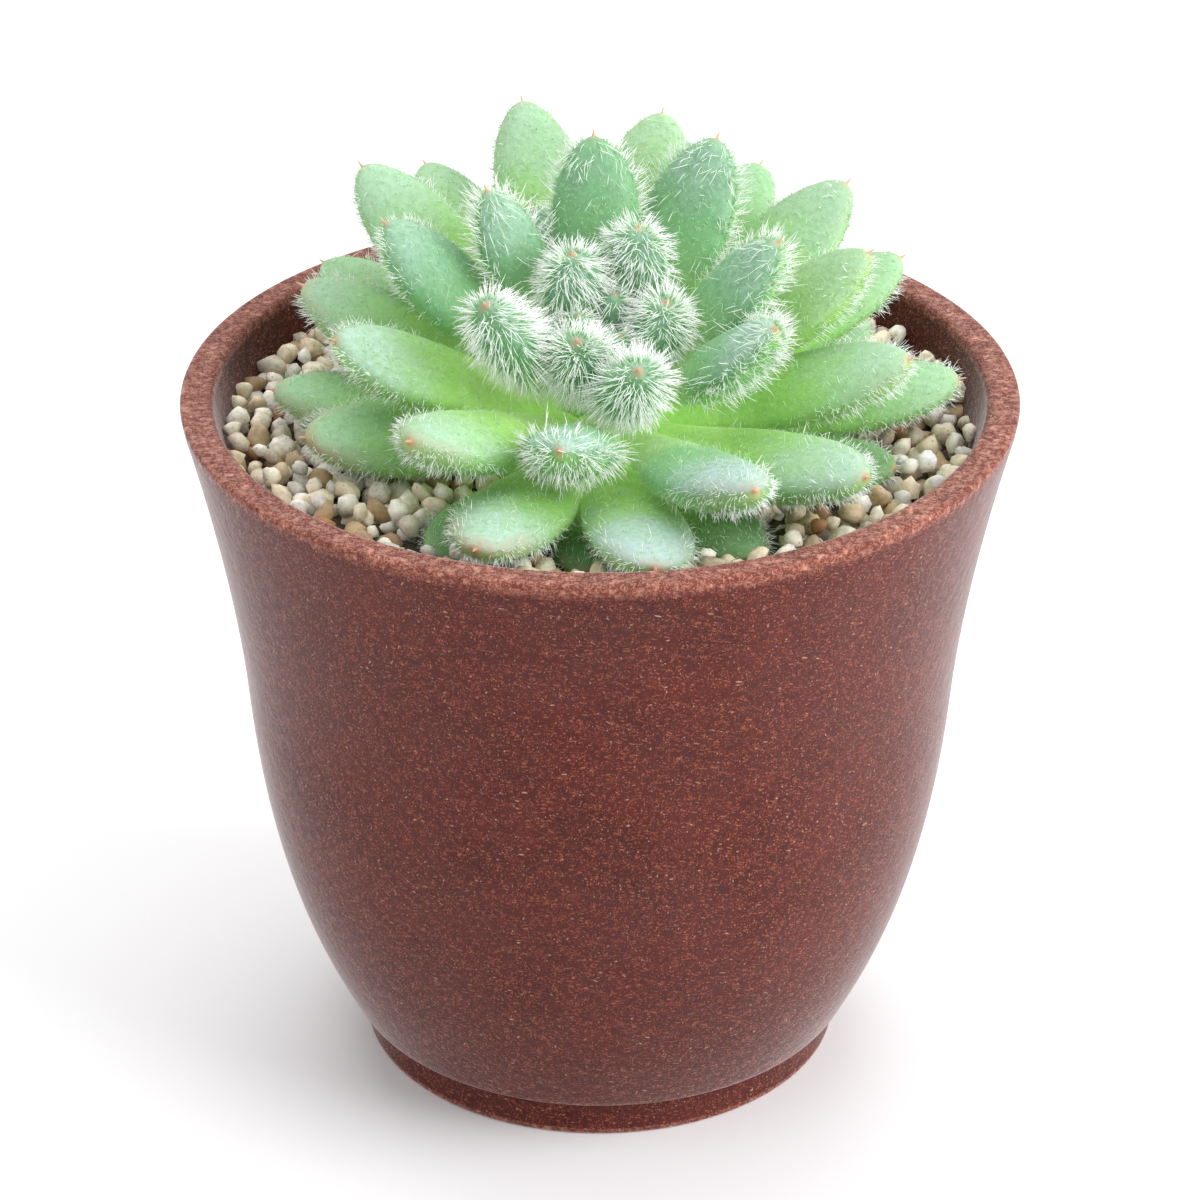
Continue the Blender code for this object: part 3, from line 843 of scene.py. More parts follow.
def mottled(make, groups, where, size, low=0.0, high=1.0):
    """The shared mottling at one size, between two levels."""
    return make.place(groups["mottle"], {"Vector": where, "Size": size, "Low": low, "High": high})["Value"]


def mottle_group():
    """Soft cloudy variation between two levels, from a coarse and a fine noise."""
    inputs = {"Vector": VECTOR, "Size": 0.006, "Low": 0.0, "High": 1.0}
    group, make, given, out = new_group("mottle", inputs, ("Value", FLOAT))
    per_metre = make.math("DIVIDE", 1.0, given["Size"])
    coarse = make.noise(given["Vector"], per_metre, 3.0, 0.5)
    fine = make.noise(given["Vector"], make.times(per_metre, 4.3), 4.0, 0.6)
    both = make.plus(make.times(coarse, 0.65), make.times(fine, 0.35))
    make.fill(out, {"Value": make.eased(both, 0.34, 0.66, given["Low"], given["High"])})
    return group


def fibre_group():
    """One lay of short fibres: stretched cells that point one way, some of which show as a fibre."""
    inputs = {"Vector": VECTOR, "Turn": VECTOR, "Length": 0.0022, "Width": 0.0002, "Share": 0.3}
    group, make, given, out = new_group("fibre_lay", inputs, ("Mask", FLOAT), ("Pick", FLOAT))
    values = {"Vector": given["Vector"], "Rotation": given["Turn"]}
    turned = make.add("ShaderNodeVectorRotate", values, rotation_type="EULER_XYZ")["Vector"]
    wobble = make.add("ShaderNodeTexNoise", {"Vector": turned, "Scale": 900.0, "Detail": 1.0})["Color"]
    path = make.vector_math("ADD", turned, make.vector_math("MULTIPLY", wobble, (0.0004, 0.0004, 0.0004)))
    along = make.math("DIVIDE", 1.0, given["Length"])
    across = make.math("DIVIDE", 1.0, given["Width"])
    scale = make.add("ShaderNodeCombineXYZ", {0: along, 1: across, 2: across})[0]
    distance, shade = make.cells(make.vector_math("MULTIPLY", path, scale), 1.0)
    pick = make.channels(shade)
    body = make.eased(distance, 0.30, 0.42, 1.0, 0.0)
    mask = make.times(body, make.math("LESS_THAN", pick[0], given["Share"]))
    make.fill(out, {"Mask": mask, "Pick": pick[1]})
    return group


def leaf_skin_group():
    """The skin of a leaf: green at its base, minty along it, pale at its end, with bloom, dots and a tanned margin.
    Its last output is painted light: the base colour, fading out along the leaf, which the leaf gives off as a glow
    that lifts the shade between the leaf bases.
    """
    tones = ("Base", "Middle", "End", "Bloom Colour", "Lower Colour", "Tan Colour", "Sun Colour", "Point Colour")
    inputs = {"Vector": VECTOR, "Around": 0.0, "Along": 0.0, "Bloom": 0.5, "Tan": 0.0, "Sun": 0.0}
    inputs.update({tone: COLOUR for tone in tones})
    group, make, given, out = new_group(
        "leaf_skin", inputs, ("Colour", COLOUR), ("Roughness", FLOAT), ("Height", FLOAT), ("Glow", COLOUR)
    )
    where, along = given["Vector"], given["Along"]
    turn = make.times(given["Around"], TAU)
    face = make.math("SINE", turn)
    margin = make.math("ABSOLUTE", make.math("COSINE", turn))
    cloud = make.noise(where, 230.0, 4.0, 0.6)
    fine = make.noise(where, 1500.0, 4.0, 0.65)
    # The borders between the tones wander with the clouds.
    place = make.plus(along, make.times(make.math("SUBTRACT", cloud, 0.5), 0.35))
    towards_end = make.eased(place, 0.50, 0.95)
    skin = make.mix(make.eased(place, 0.10, 0.52), given["Base"], given["Middle"])
    skin = make.mix(towards_end, skin, given["End"])
    skin = make.mix(make.times(make.eased(face, 0.15, -0.6), 0.55), skin, given["Lower Colour"])
    warm = make.eased(cloud, 0.35, 0.65, 0.75, 1.0)
    skin = make.mix(make.times(warm, given["Sun"]), skin, given["Sun Colour"])
    powder = make.times(make.eased(face, -0.35, 0.45), towards_end)
    powder = make.times(powder, make.eased(fine, 0.3, 0.7, 0.55, 1.0))
    skin = make.mix(make.times(powder, given["Bloom"]), skin, given["Bloom Colour"])
    skin = make.toned(skin, make.eased(fine, 0.25, 0.75, 0.86, 1.08))
    dot = make.eased(make.cells(where, 1750.0)[0], 0.12, 0.34, 1.0, 0.0)
    skin = make.mix(make.times(dot, 0.20), skin, (0.52, 0.66, 0.54, 1.0))
    edge = make.times(make.eased(margin, 0.45, 0.98), make.eased(along, 0.72, 0.93))
    edge = make.math("MAXIMUM", edge, make.eased(along, 0.925, 0.975))
    edge = make.times(edge, make.eased(fine, 0.35, 0.62, 0.2, 1.0))
    skin = make.mix(make.times(edge, given["Tan"]), skin, given["Tan Colour"])
    skin = make.mix(make.times(make.eased(along, 0.955, 0.98), 0.22), skin, given["Tan Colour"])
    skin = make.mix(make.eased(along, 0.979, 0.987), skin, given["Point Colour"])
    make.fill(out, {
        "Colour": skin,
        "Roughness": make.eased(fine, 0.3, 0.7, 0.46, 0.62),
        "Height": make.plus(make.plus(make.times(fine, 0.8), make.times(dot, 0.5)), make.times(cloud, 1.5)),
        # Painted light: the base colour, fading out from a fifth to three quarters of the way along the leaf, which
        # the leaf gives off as a glow in its shaded base.
        "Glow": make.mix(make.eased(place, 0.20, 0.75), given["Base"], (0.0, 0.0, 0.0, 1.0)),
    })
    return group


def stone_group():
    """Speckled stone: a tone with soft mottling and fine dark flecks, and its bump."""
    inputs = {"Vector": VECTOR, "Tone": COLOUR, "Fleck Share": 0.2}
    group, make, given, out = new_group("stone", inputs, ("Colour", COLOUR), ("Height", FLOAT), ("Roughness", FLOAT))
    where = given["Vector"]
    cloud = make.noise(where, 900.0, 4.0, 0.6)
    fine = make.noise(where, 4200.0, 3.0, 0.6)
    skin = make.toned(given["Tone"], make.eased(cloud, 0.3, 0.7, 0.74, 1.12))
    distance, shade = make.cells(where, 2600.0)
    picked = make.math("LESS_THAN", make.channels(shade)[0], given["Fleck Share"])
    spot = make.times(make.eased(distance, 0.18, 0.36, 1.0, 0.0), picked)
    make.fill(out, {
        "Colour": make.mix(make.times(spot, 0.45), skin, (0.09, 0.065, 0.045, 1.0)),
        "Height": make.plus(make.times(cloud, 1.2), fine),
        "Roughness": make.eased(fine, 0.3, 0.7, 0.62, 0.85),
    })
    return group


def shared_groups():
    """The node groups that the finishes share, built once."""
    found = {g.name: g for g in bpy.data.node_groups}
    builders = {"mottle": mottle_group, "fibre_lay": fibre_group, "leaf_skin": leaf_skin_group, "stone": stone_group}
    for name, build in builders.items():
        if name not in found:
            found[name] = build()
    return found


# ---------------------------------------------------------------------------------------------------------------
# Finishes


def colour(value):
    return (*value, 1.0)


def pot_material(looks, groups):
    """Pressed wood fibre in a red-brown binder: short fibres every way, worn pale along the rim, browner and darker
    inside, where the darkness is partly painted shade of the pot's hollow.
    """
    material, make = new_material("wood_fibre_composite")
    where = make.object_coordinates()
    inside, wear = make.trait("inside"), make.trait("wear")
    grain = mottled(make, groups, where, 0.0007)
    base = make.mix(mottled(make, groups, where, 0.010), colour(looks.dark_colour), colour(looks.body_colour))
    base = make.mix(mottled(make, groups, where, 0.022, 0.0, 0.75), base, colour(looks.grey_colour))
    base = make.mix(make.times(grain, 0.45), base, colour(looks.light_colour))
    # Inner wall: the binder's browner tone plus painted shade of the pot's hollow, darker all over the inside.
    base = make.mix(make.times(inside, 0.85), base, colour(looks.inside_brown_and_shade_colour))
    lays = []
    fibre_tones = ((0.20, looks.red_fibre_colour), (0.60, looks.orange_fibre_colour), (0.975, looks.tan_fibre_colour))
    for lay, turn in enumerate(FIBRE_TURNS):
        fibre = make.place(groups["fibre_lay"], {
            "Vector": where,
            "Turn": turn,
            "Length": looks.fibre_length * (0.8 + 0.12 * lay),
            "Width": looks.fibre_width * (1.25 - 0.1 * lay),
            "Share": looks.fibre_share,
        })
        tone = make.ramp(fibre["Pick"], looks.deep_fibre_colour, looks.pale_fibre_colour, fibre_tones)
        strength = make.times(fibre["Mask"], make.eased(fibre["Pick"], 0.0, 1.0, 0.30, 0.64))
        base = make.mix(strength, base, tone)
        lays.append(fibre["Mask"])
    flecks = make.eased(make.noise(where, 1250.0, 5.0, 0.68), 0.50, 0.66)
    for mask in lays:
        flecks = make.math("MAXIMUM", flecks, make.times(mask, 0.45))
    bare = make.mix(flecks, colour(looks.rim_colour), colour(looks.rim_fleck_colour))
    base = make.mix(make.times(wear, mottled(make, groups, where, 0.0018, 0.45, 1.0)), base, bare)
    fine, ripple = make.noise(where, 5200.0, 4.0, 0.6), make.noise(where, 620.0, 2.0, 0.5)
    height = make.plus(make.times(fine, 0.7), make.times(ripple, 2.2))
    height = make.plus(height, make.times(make.times(wear, flecks), 1.4))
    for mask in lays[:3]:
        height = make.plus(height, make.times(mask, 0.35))
    rough = make.eased(grain, 0.0, 1.0, looks.roughness - 0.05, looks.roughness + 0.07)
    make.surface(
        Base_Color=base,
        Roughness=make.plus(rough, make.times(make.math("MAXIMUM", wear, inside), 0.16)),
        Normal=make.bump(height, 0.40, 0.0001),
        IOR=1.25,
        Sheen_Weight=0.85,
        Sheen_Roughness=0.25,
        Sheen_Tint=(1.0, 0.93, 0.93, 1.0),
    )
    return material


def leaf_material(name, looks, groups, tones):
    """A leaf's finish: the shared skin with this ring's own tones, over flesh that lets a little light through, and a
    painted glow of the base colour that lightens the shade between the leaf bases.
    """
    material, make = new_material(name)
    around, along, _ = make.surface_uv()
    base, middle, end, lower = map(colour, tones)
    skin = make.place(groups["leaf_skin"], {
        "Vector": make.object_coordinates(),
        "Around": around,
        "Along": along,
        "Bloom": make.trait("bloom"),
        "Tan": make.trait("tan"),
        "Sun": make.trait("sun"),
        "Base": base,
        "Middle": middle,
        "End": end,
        "Lower Colour": lower,
        "Bloom Colour": colour(looks.bloom_colour),
        "Tan Colour": colour(looks.tan_colour),
        "Sun Colour": colour(looks.sun_colour),
        "Point Colour": colour(looks.point_colour),
    })
    make.surface(
        Base_Color=skin["Colour"],
        Roughness=skin["Roughness"],
        Normal=make.bump(skin["Height"], 0.35, 0.00012),
        Subsurface_Weight=looks.flesh_glow,
        Subsurface_Scale=0.0034,
        Subsurface_Radius=(0.55, 1.0, 0.35),
        Sheen_Weight=0.12,
        Sheen_Roughness=0.3,
        Specular_IOR_Level=0.35,
        # Painted light: a faint glow of the base colour near the leaf's base, which lifts the shade between the leaves
        # as bounced light would.
        Emission_Color=skin["Glow"],
        Emission_Strength=0.20,
    )
    return material


def hair_material(name, root, end):
    """Hairs with one colour at the root and a paler one beyond, which also give off a faint glow of that colour as
    painted light.
    """
    material, make = new_material(name)
    _, along, _ = make.surface_uv()
    clumps = make.noise(make.object_coordinates(), 420.0, 2.0)
    share = make.plus(along, make.times(make.math("SUBTRACT", clumps, 0.5), 0.5))
    shade = make.mix(make.eased(share, 0.0, 0.55), colour(root), colour(end))
    make.surface(
        Base_Color=shade,
        Roughness=make.eased(clumps, 0.3, 0.7, 0.42, 0.6),
        Specular_IOR_Level=0.5,
        # Painted light: the hairs and the down give off a little of their own colour, which keeps them pale where they
        # shade one another.
        Emission_Color=shade,
        Emission_Strength=0.05,
    )
    return material


def speckled(make, groups, where, tone, share, strength, distance):
    """The shared stone skin in this tone, as the whole finish of a material."""
    stone = make.place(groups["stone"], {"Vector": where, "Tone": tone, "Fleck Share": share})
    bump = make.bump(stone["Height"], strength, distance)
    make.surface(Base_Color=stone["Colour"], Roughness=stone["Roughness"], Normal=bump)


def stone_material(looks, groups):
    """Washed grit in creams, beiges, greys and whites, with a few tan and rusty stones."""
    material, make = new_material("grit_stone")
    tones = (
        (0.03, looks.brown_colour),
        (0.08, looks.tan_colour),
        (0.16, looks.beige_colour),
        (0.30, looks.cream_colour),
        (0.42, looks.white_colour),
        (0.56, looks.cream_colour),
        (0.66, looks.beige_colour),
        (0.74, looks.white_colour),
        (0.83, looks.grey_colour),
        (0.92, looks.tan_colour),
    )
    tone = make.ramp(make.trait("tone"), looks.rust_colour, looks.white_colour, tones)
    speckled(make, groups, make.object_coordinates(), tone, 0.16, 0.5, 0.0001)
    return material


def bed_material(looks, groups):
    """The finer, shaded grit between and below the stones: its dark tones are the soil's own dark crumbs and painted
    shade in the gaps between the stones.
    """
    material, make = new_material("grit_bed")
    where = make.object_coordinates()
    mottle = mottled(make, groups, where, 0.0012)
    # Dark tones: the soil's own dark crumbs mixed with painted shade for the gaps between the stones.
    tone = make.mix(mottle, colour(looks.soil_dark_colour), colour(looks.gap_shade_colour))
    speckled(make, groups, where, tone, 0.4, 0.8, 0.0004)
    return material


def soil_material(looks, groups):
    """Dark crumbly potting soil with a few pale crumbs."""
    material, make = new_material("potting_earth")
    where = make.object_coordinates()
    mottle = mottled(make, groups, where, 0.0025)
    distance, shade = make.cells(where, 620.0)
    picked = make.math("GREATER_THAN", make.channels(shade)[0], 0.93)
    pale = make.times(picked, make.eased(distance, 0.3, 0.45, 1.0, 0.0))
    tone = make.mix(mottle, colour(looks.soil_dark_colour), colour(looks.soil_colour))
    make.surface(
        Base_Color=make.mix(pale, tone, colour(looks.beige_colour)),
        Roughness=make.eased(mottle, 0.0, 1.0, 0.85, 0.97),
        Normal=make.bump(make.plus(mottle, make.times(distance, -0.8)), 0.8, 0.0006),
    )
    return material


def stem_material(looks, groups):
    """The short stem: green and smooth at its top, corky and brown below the lowest leaves."""
    material, make = new_material("stem_skin")
    where = make.object_coordinates()
    mottle = mottled(make, groups, where, 0.002)
    green = make.eased(make.axes(where)["Z"], GRIT_LEVEL - 2 * MM, GRIT_LEVEL + 2 * MM)
    skin = make.mix(make.times(mottle, 0.6), colour(looks.base_colour), colour(looks.middle_colour))
    cork = make.mix(mottle, (0.10, 0.06, 0.035, 1.0), (0.26, 0.18, 0.10, 1.0))
    make.surface(
        Base_Color=make.mix(green, cork, skin),
        Roughness=make.eased(mottle, 0.0, 1.0, 0.55, 0.8),
        Normal=make.bump(mottle, 0.5, 0.0002),
    )
    return material


# ---------------------------------------------------------------------------------------------------------------
# Settings


def colour_property(name, description, default):
    return bpy.props.FloatVectorProperty(
        name=name, description=description, default=default, size=3, min=0.0, max=1.0, subtype="COLOR"
    )


def length_property(name, description, default):
    kind = {"min": 0.0, "precision": 5, "subtype": "DISTANCE", "unit": "LENGTH"}
    return bpy.props.FloatProperty(name=name, description=description, default=default, **kind)


def share_property(name, description, default, high=1.0):
    return bpy.props.FloatProperty(
        name=name, description=description, default=default, min=0.0, max=high, subtype="FACTOR"
    )


def power_property(name, description, default):
    return bpy.props.FloatProperty(name=name, description=description, default=default, min=0.0)


def steps_property(name, description, default, high):
    return bpy.props.IntProperty(name=name, description=description, default=default, min=8, max=high)


class PotLooks(bpy.types.PropertyGroup):
    """Colours and fibres of the pot."""

    dark_colour: colour_property("Dark body", "Darker clouds of the binder", (0.044, 0.0070, 0.0058))
    body_colour: colour_property("Body", "Main colour of the binder", (0.086, 0.0110, 0.0085))
    light_colour: colour_property("Light body", "Fine lighter grain", (0.118, 0.0240, 0.0165))
    grey_colour: colour_property("Greyish body", "Large dull patches", (0.058, 0.0210, 0.0205))
    # Inner wall colour: browner binder, darkened as painted shade of the pot's hollow.
    inside_brown_and_shade_colour: colour_property("Inside", "Inner wall", (0.052, 0.0125, 0.0085))
    rim_colour: colour_property("Worn rim", "Worn edges", (0.190, 0.052, 0.036))
    rim_fleck_colour: colour_property("Rim flecks", "Bare fibres on worn edges", (0.66, 0.30, 0.21))
    deep_fibre_colour: colour_property("Dark fibres", "Darkest fibres", (0.024, 0.006, 0.005))
    red_fibre_colour: colour_property("Red fibres", "Red fibres", (0.170, 0.028, 0.016))
    orange_fibre_colour: colour_property("Orange fibres", "Orange fibres", (0.270, 0.052, 0.027))
    tan_fibre_colour: colour_property("Tan fibres", "Tan fibres", (0.38, 0.125, 0.070))
    pale_fibre_colour: colour_property("Pale fibres", "The few palest fibres", (0.62, 0.42, 0.32))
    fibre_length: length_property("Fibre length", "Length of the fibres' cells", 1.05 * MM)
    fibre_width: length_property("Fibre width", "Width of the fibres' cells", 0.20 * MM)
    fibre_share: share_property("Fibre share", "Share of the cells that show a fibre", 0.34)
    roughness: share_property("Roughness", "Gloss of the binder", 0.42)
    sides: steps_property("Sides", "Steps round the pot", 256, 400)


class LeafLooks(bpy.types.PropertyGroup):
    """Colours, bloom and hairs of the leaves."""

    base_colour: colour_property("Base", "Leaf base", (0.52, 0.79, 0.260))
    middle_colour: colour_property("Middle", "Middle of an outer leaf", (0.260, 0.530, 0.115))
    end_colour: colour_property("End", "End of an outer leaf", (0.290, 0.530, 0.225))
    lower_colour: colour_property("Lower face", "Lower face of an outer leaf", (0.310, 0.64, 0.150))
    young_colour: colour_property("Young", "Body of the young leaves", (0.165, 0.360, 0.190))
    inner_colour: colour_property("Inner", "Upper face of the inner leaves", (0.150, 0.370, 0.150))
    shaded_colour: colour_property("Shaded", "Leaves below the front ones", (0.150, 0.340, 0.075))
    bloom_colour: colour_property("Bloom", "Pale powder on the skin", (0.385, 0.525, 0.490))
    sun_colour: colour_property("Warm green", "Skin of the warmer leaves", (0.34, 0.57, 0.13))
    tan_colour: colour_property("Tan", "Dry margins", (0.40, 0.27, 0.19))
    point_colour: colour_property("Point", "Horny point of a leaf", (0.50, 0.27, 0.17))
    hair_colour: colour_property("Hair", "Outer part of a hair", (0.96, 0.985, 0.955))
    down_colour: colour_property("Down", "Short down on the skin", (0.62, 0.82, 0.60))
    down_root_colour: colour_property("Down root", "Root of the down", (0.36, 0.62, 0.30))
    hair_root_colour: colour_property("Hair root", "Root of a hair", (0.46, 0.74, 0.44))
    hair_thickness: length_property("Hair thickness", "Thickness of a hair at its root", 0.13 * MM)
    hair_length: share_property("Hair length", "Length of the hairs, as a share of the usual", 1.0, 2.0)
    hair_fullness: share_property("Hair fullness", "Number of hairs, as a share of the usual", 1.0, 2.0)
    down_density: power_property("Down", "Short hairs for each square millimetre of a leaf's outline", 2.8)
    flesh_glow: share_property("Flesh glow", "How much light the flesh scatters", 0.45)
    rows: steps_property("Rows", "Steps along a leaf", 38, 120)
    sides: steps_property("Sides", "Steps round a leaf", 30, 96)


class GritLooks(bpy.types.PropertyGroup):
    """Sizes and colours of the stones and the soil."""

    stone_size: length_property("Stone size", "Usual width of a stone", 2.7 * MM)
    rust_colour: colour_property("Rust", "A few rusty stones", (0.42, 0.18, 0.07))
    brown_colour: colour_property("Brown", "Dark brown stones", (0.34, 0.21, 0.12))
    # Painted shade in the gaps between the stones.
    gap_shade_colour: colour_property("Gaps", "Shaded grit between the stones", (0.13, 0.092, 0.060))
    tan_colour: colour_property("Tan", "Tan stones", (0.56, 0.40, 0.22))
    beige_colour: colour_property("Beige", "Beige stones", (0.88, 0.74, 0.53))
    cream_colour: colour_property("Cream", "Cream stones", (0.97, 0.88, 0.70))
    white_colour: colour_property("White", "White stones", (0.98, 0.95, 0.89))
    grey_colour: colour_property("Grey", "Grey stones", (0.68, 0.66, 0.60))
    soil_colour: colour_property("Soil", "Soil and the fine grit below the stones", (0.12, 0.08, 0.05))
    soil_dark_colour: colour_property("Dark soil", "Dark crumbs of the soil", (0.03, 0.02, 0.013))


class StudioLooks(bpy.types.PropertyGroup):
    """Floor, light and camera."""

    floor_colour: colour_property("Floor", "Floor", (0.90, 0.90, 0.91))
    sky_strength: power_property("Surround", "Light from all round", 0.73)
    key_power: power_property("Key", "Soft light from the right", 10.2)
    fill_power: power_property("Fill", "Soft light from the left", 1.1)
    top_power: power_property("Top", "Soft light from above the back", 4.5)
    camera_distance: length_property("Distance", "From the camera to what it looks at", 550 * MM)
    camera_height: bpy.props.FloatProperty(
        name="Elevation",
        description="Angle above the horizon",
        default=math.radians(28.6),
        subtype="ANGLE",
        unit="ROTATION",
    )
    camera_target: length_property("Target height", "Height that the camera looks at", 52.35 * MM)
    camera_lens: bpy.props.FloatProperty(
        name="Lens", description="Focal length", default=151.1, min=1.0, subtype="DISTANCE_CAMERA", unit="CAMERA"
    )


# ---------------------------------------------------------------------------------------------------------------
# Operators


def finish(material_of, node, looks):
    """Gives a CAD node its finish, in every slot that it has."""
    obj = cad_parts[node]
    material = material_of(looks, shared_groups())
    if not obj.material_slots:
        obj.data.materials.append(material)
    for slot in obj.material_slots:
        slot.material = material
    return {"FINISHED"}


class SUCCULENT_OT_pot(bpy.types.Operator):
    """Builds the turned pot, from its rim to its foot and drain hole"""

    bl_idname = "succulent.pot"
    bl_label = "Pot"

    def execute(self, context):
        looks = context.scene.succulent_pot
        points, faces, wear, within = pot_surface(looks.sides)
        material = pot_material(looks, shared_groups())
        pot = add_piece("pot_body", points, [faces], material, traits={"wear": wear, "inside": within})
        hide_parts("pot")
        return {"FINISHED"}


class SUCCULENT_OT_leaves(bpy.types.Operator):
    """Builds every leaf of the rosette, each in place of its CAD leaf"""

    bl_idname = "succulent.leaves"
    bl_label = "Leaves"

    def execute(self, context):
        looks = context.scene.succulent_leaves
        groups = shared_groups()
        tones = {
            "leaf_young": (looks.base_colour, looks.young_colour, looks.young_colour, looks.young_colour),
            "leaf_inner": (looks.base_colour, looks.inner_colour, looks.inner_colour, looks.lower_colour),
            "leaf_outer": (looks.base_colour, looks.middle_colour, looks.end_colour, looks.lower_colour),
            "leaf_shaded": (looks.base_colour, looks.shaded_colour, looks.shaded_colour, looks.shaded_colour),
        }
        materials = {slot: leaf_material(slot, looks, groups, chosen) for slot, chosen in tones.items()}
        for leaf in leaves_of_plant():
            points, faces, uv = leaf.mesh(looks.rows, looks.sides)
            traits = {
                "bloom": LEAF_BLOOM.get(leaf.name, RING_BLOOM[leaf.ring]),
                "tan": LEAF_TAN.get(leaf.name, USUAL_TAN),
                "sun": LEAF_SUN.get(leaf.name, 0.0),
            }
            piece = add_piece(f"{leaf.name}_skin", points, faces, materials[leaf.slot], uv, traits)
            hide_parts(leaf.name)
        return {"FINISHED"}


class SUCCULENT_OT_hairs(bpy.types.Operator):
    """Grows the long hairs and the short down on every leaf"""

    bl_idname = "succulent.hairs"
    bl_label = "Hairs and down"

    def execute(self, context):
        looks = context.scene.succulent_leaves
        hair = hair_material("leaf_hair", looks.hair_root_colour, looks.hair_colour)
        soft = hair_material("leaf_down", looks.down_root_colour, looks.down_colour)
        rng = np.random.default_rng(HAIR_SEED)
        rings = {}
        for leaf in leaves_of_plant():
            rings.setdefault(leaf.ring, []).append(leaf)
        for ring, leaves in rings.items():
            hairs = [hairs_of(leaf, looks, rng) for leaf in leaves]
            add_strands(f"{ring}_hairs", hairs, HAIR_SHARES, hair)
            down = [down_of(leaf, looks, rng) for leaf in leaves]
            add_strands(f"{ring}_down", down, DOWN_SHARES, soft)
        return {"FINISHED"}


class SUCCULENT_OT_stem(bpy.types.Operator):
    """Gives the stem its green and corky skin"""

    bl_idname = "succulent.stem"
    bl_label = "Stem"

    def execute(self, context):
        return finish(stem_material, "stem", context.scene.succulent_leaves)


class SUCCULENT_OT_soil(bpy.types.Operator):
    """Gives the potting soil its crumbly finish"""

    bl_idname = "succulent.soil"
    bl_label = "Soil"

    def execute(self, context):
        return finish(soil_material, "potting_soil", context.scene.succulent_grit)


class SUCCULENT_OT_grit(bpy.types.Operator):
    """Lays the stones of the top dressing and the fine grit below them"""

    bl_idname = "succulent.grit"
    bl_label = "Grit"

    def execute(self, context):
        looks = context.scene.succulent_grit
        groups = shared_groups()
        stone = stone_material(looks, groups)
        rng = np.random.default_rng(GRIT_SEED)
        reach = inner_radius(GRIT_LEVEL - 1.5 * MM) - 0.05 * MM
        leaf_points = np.concatenate([leaf.mesh(24, 20)[0] for leaf in leaves_of_plant()])
        leaf_points = leaf_points[leaf_points[:, 2] < GRIT_LEVEL + 1.5 * MM]
        upper = None
        for name, count, drop in GRIT_LAYERS:
            radii = looks.stone_size / 2 * rng.uniform(0.72, 1.28, count)
            place = spread_in_disc(rng, radii, reach)
            place *= 1.0 + 0.022 * (np.linalg.norm(place, axis=1, keepdims=True) / reach) ** 2
            far = np.linalg.norm(place, axis=1)
            dish = np.interp(far, DISH_REACH, DISH_DEPTH)
            top = GRIT_LEVEL - dish - drop + rng.uniform(-0.7, 0.6, count) * MM
            top = np.minimum(top, lowest_leaf_over(place, radii, leaf_points) - 0.1 * MM)
            keep = top > GRIT_BOTTOM + 1.2 * MM
            sized = grain_shapes(rng, count) * radii[:, None, None]
            height = top - sized[:, :, 2].max(axis=1)
            centre = np.column_stack([place, height])
            points = (sized + centre[:, None])[keep]
            faces = repeat_tube(points, STONE_ROWS, STONE_SIDES)
            tone = np.repeat(rng.uniform(0.0, 1.0, count)[keep], points.shape[1])
            piece = add_piece(name, points.reshape(-1, 3), faces, stone, traits={"tone": tone})
            upper = upper or piece
        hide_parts("grit_layer")
        self.add_bed(looks, groups, rng)
        return {"FINISHED"}

    def add_bed(self, looks, groups, rng):
        """A closed, lumpy disc under the stones: its top rises and falls with a sum of slanted waves."""
        top = GRIT_LEVEL - BED_DROP
        reach = inner_radius(top) - 0.15 * MM
        low = np.column_stack([np.linspace(0.1, 1.0, 6) * reach, np.full(6, GRIT_BOTTOM)])
        high = np.column_stack([np.linspace(1.0, 0.02, 40) * reach, np.full(40, top)])
        high[:, 1] -= np.interp(high[:, 0], DISH_REACH[:2], [BED_DISH, 0.0])
        profile = np.vstack([low, high])
        angles = TAU * np.arange(BED_SIDES) / BED_SIDES
        x = profile[:, :1] * np.cos(angles)
        y = profile[:, :1] * np.sin(angles)
        z = np.broadcast_to(profile[:, 1:], x.shape).copy()
        slants = rng.uniform(-1.0, 1.0, (BED_WAVES, 2)) * 2600
        starts = rng.uniform(0.0, TAU, BED_WAVES)
        lumps = np.sin(x[..., None] * slants[:, 0] + y[..., None] * slants[:, 1] + starts).sum(axis=-1)
        z[len(low):] += 0.09 * MM * lumps[len(low):]
        rings = np.stack([x, y, z], axis=-1).reshape(-1, 3)
        points = np.vstack([[[0, 0, GRIT_BOTTOM]], rings, [[0, 0, top - BED_DISH]]])
        faces = tube_faces(len(profile), BED_SIDES)
        add_piece("grit_bed", points, faces, bed_material(looks, groups))


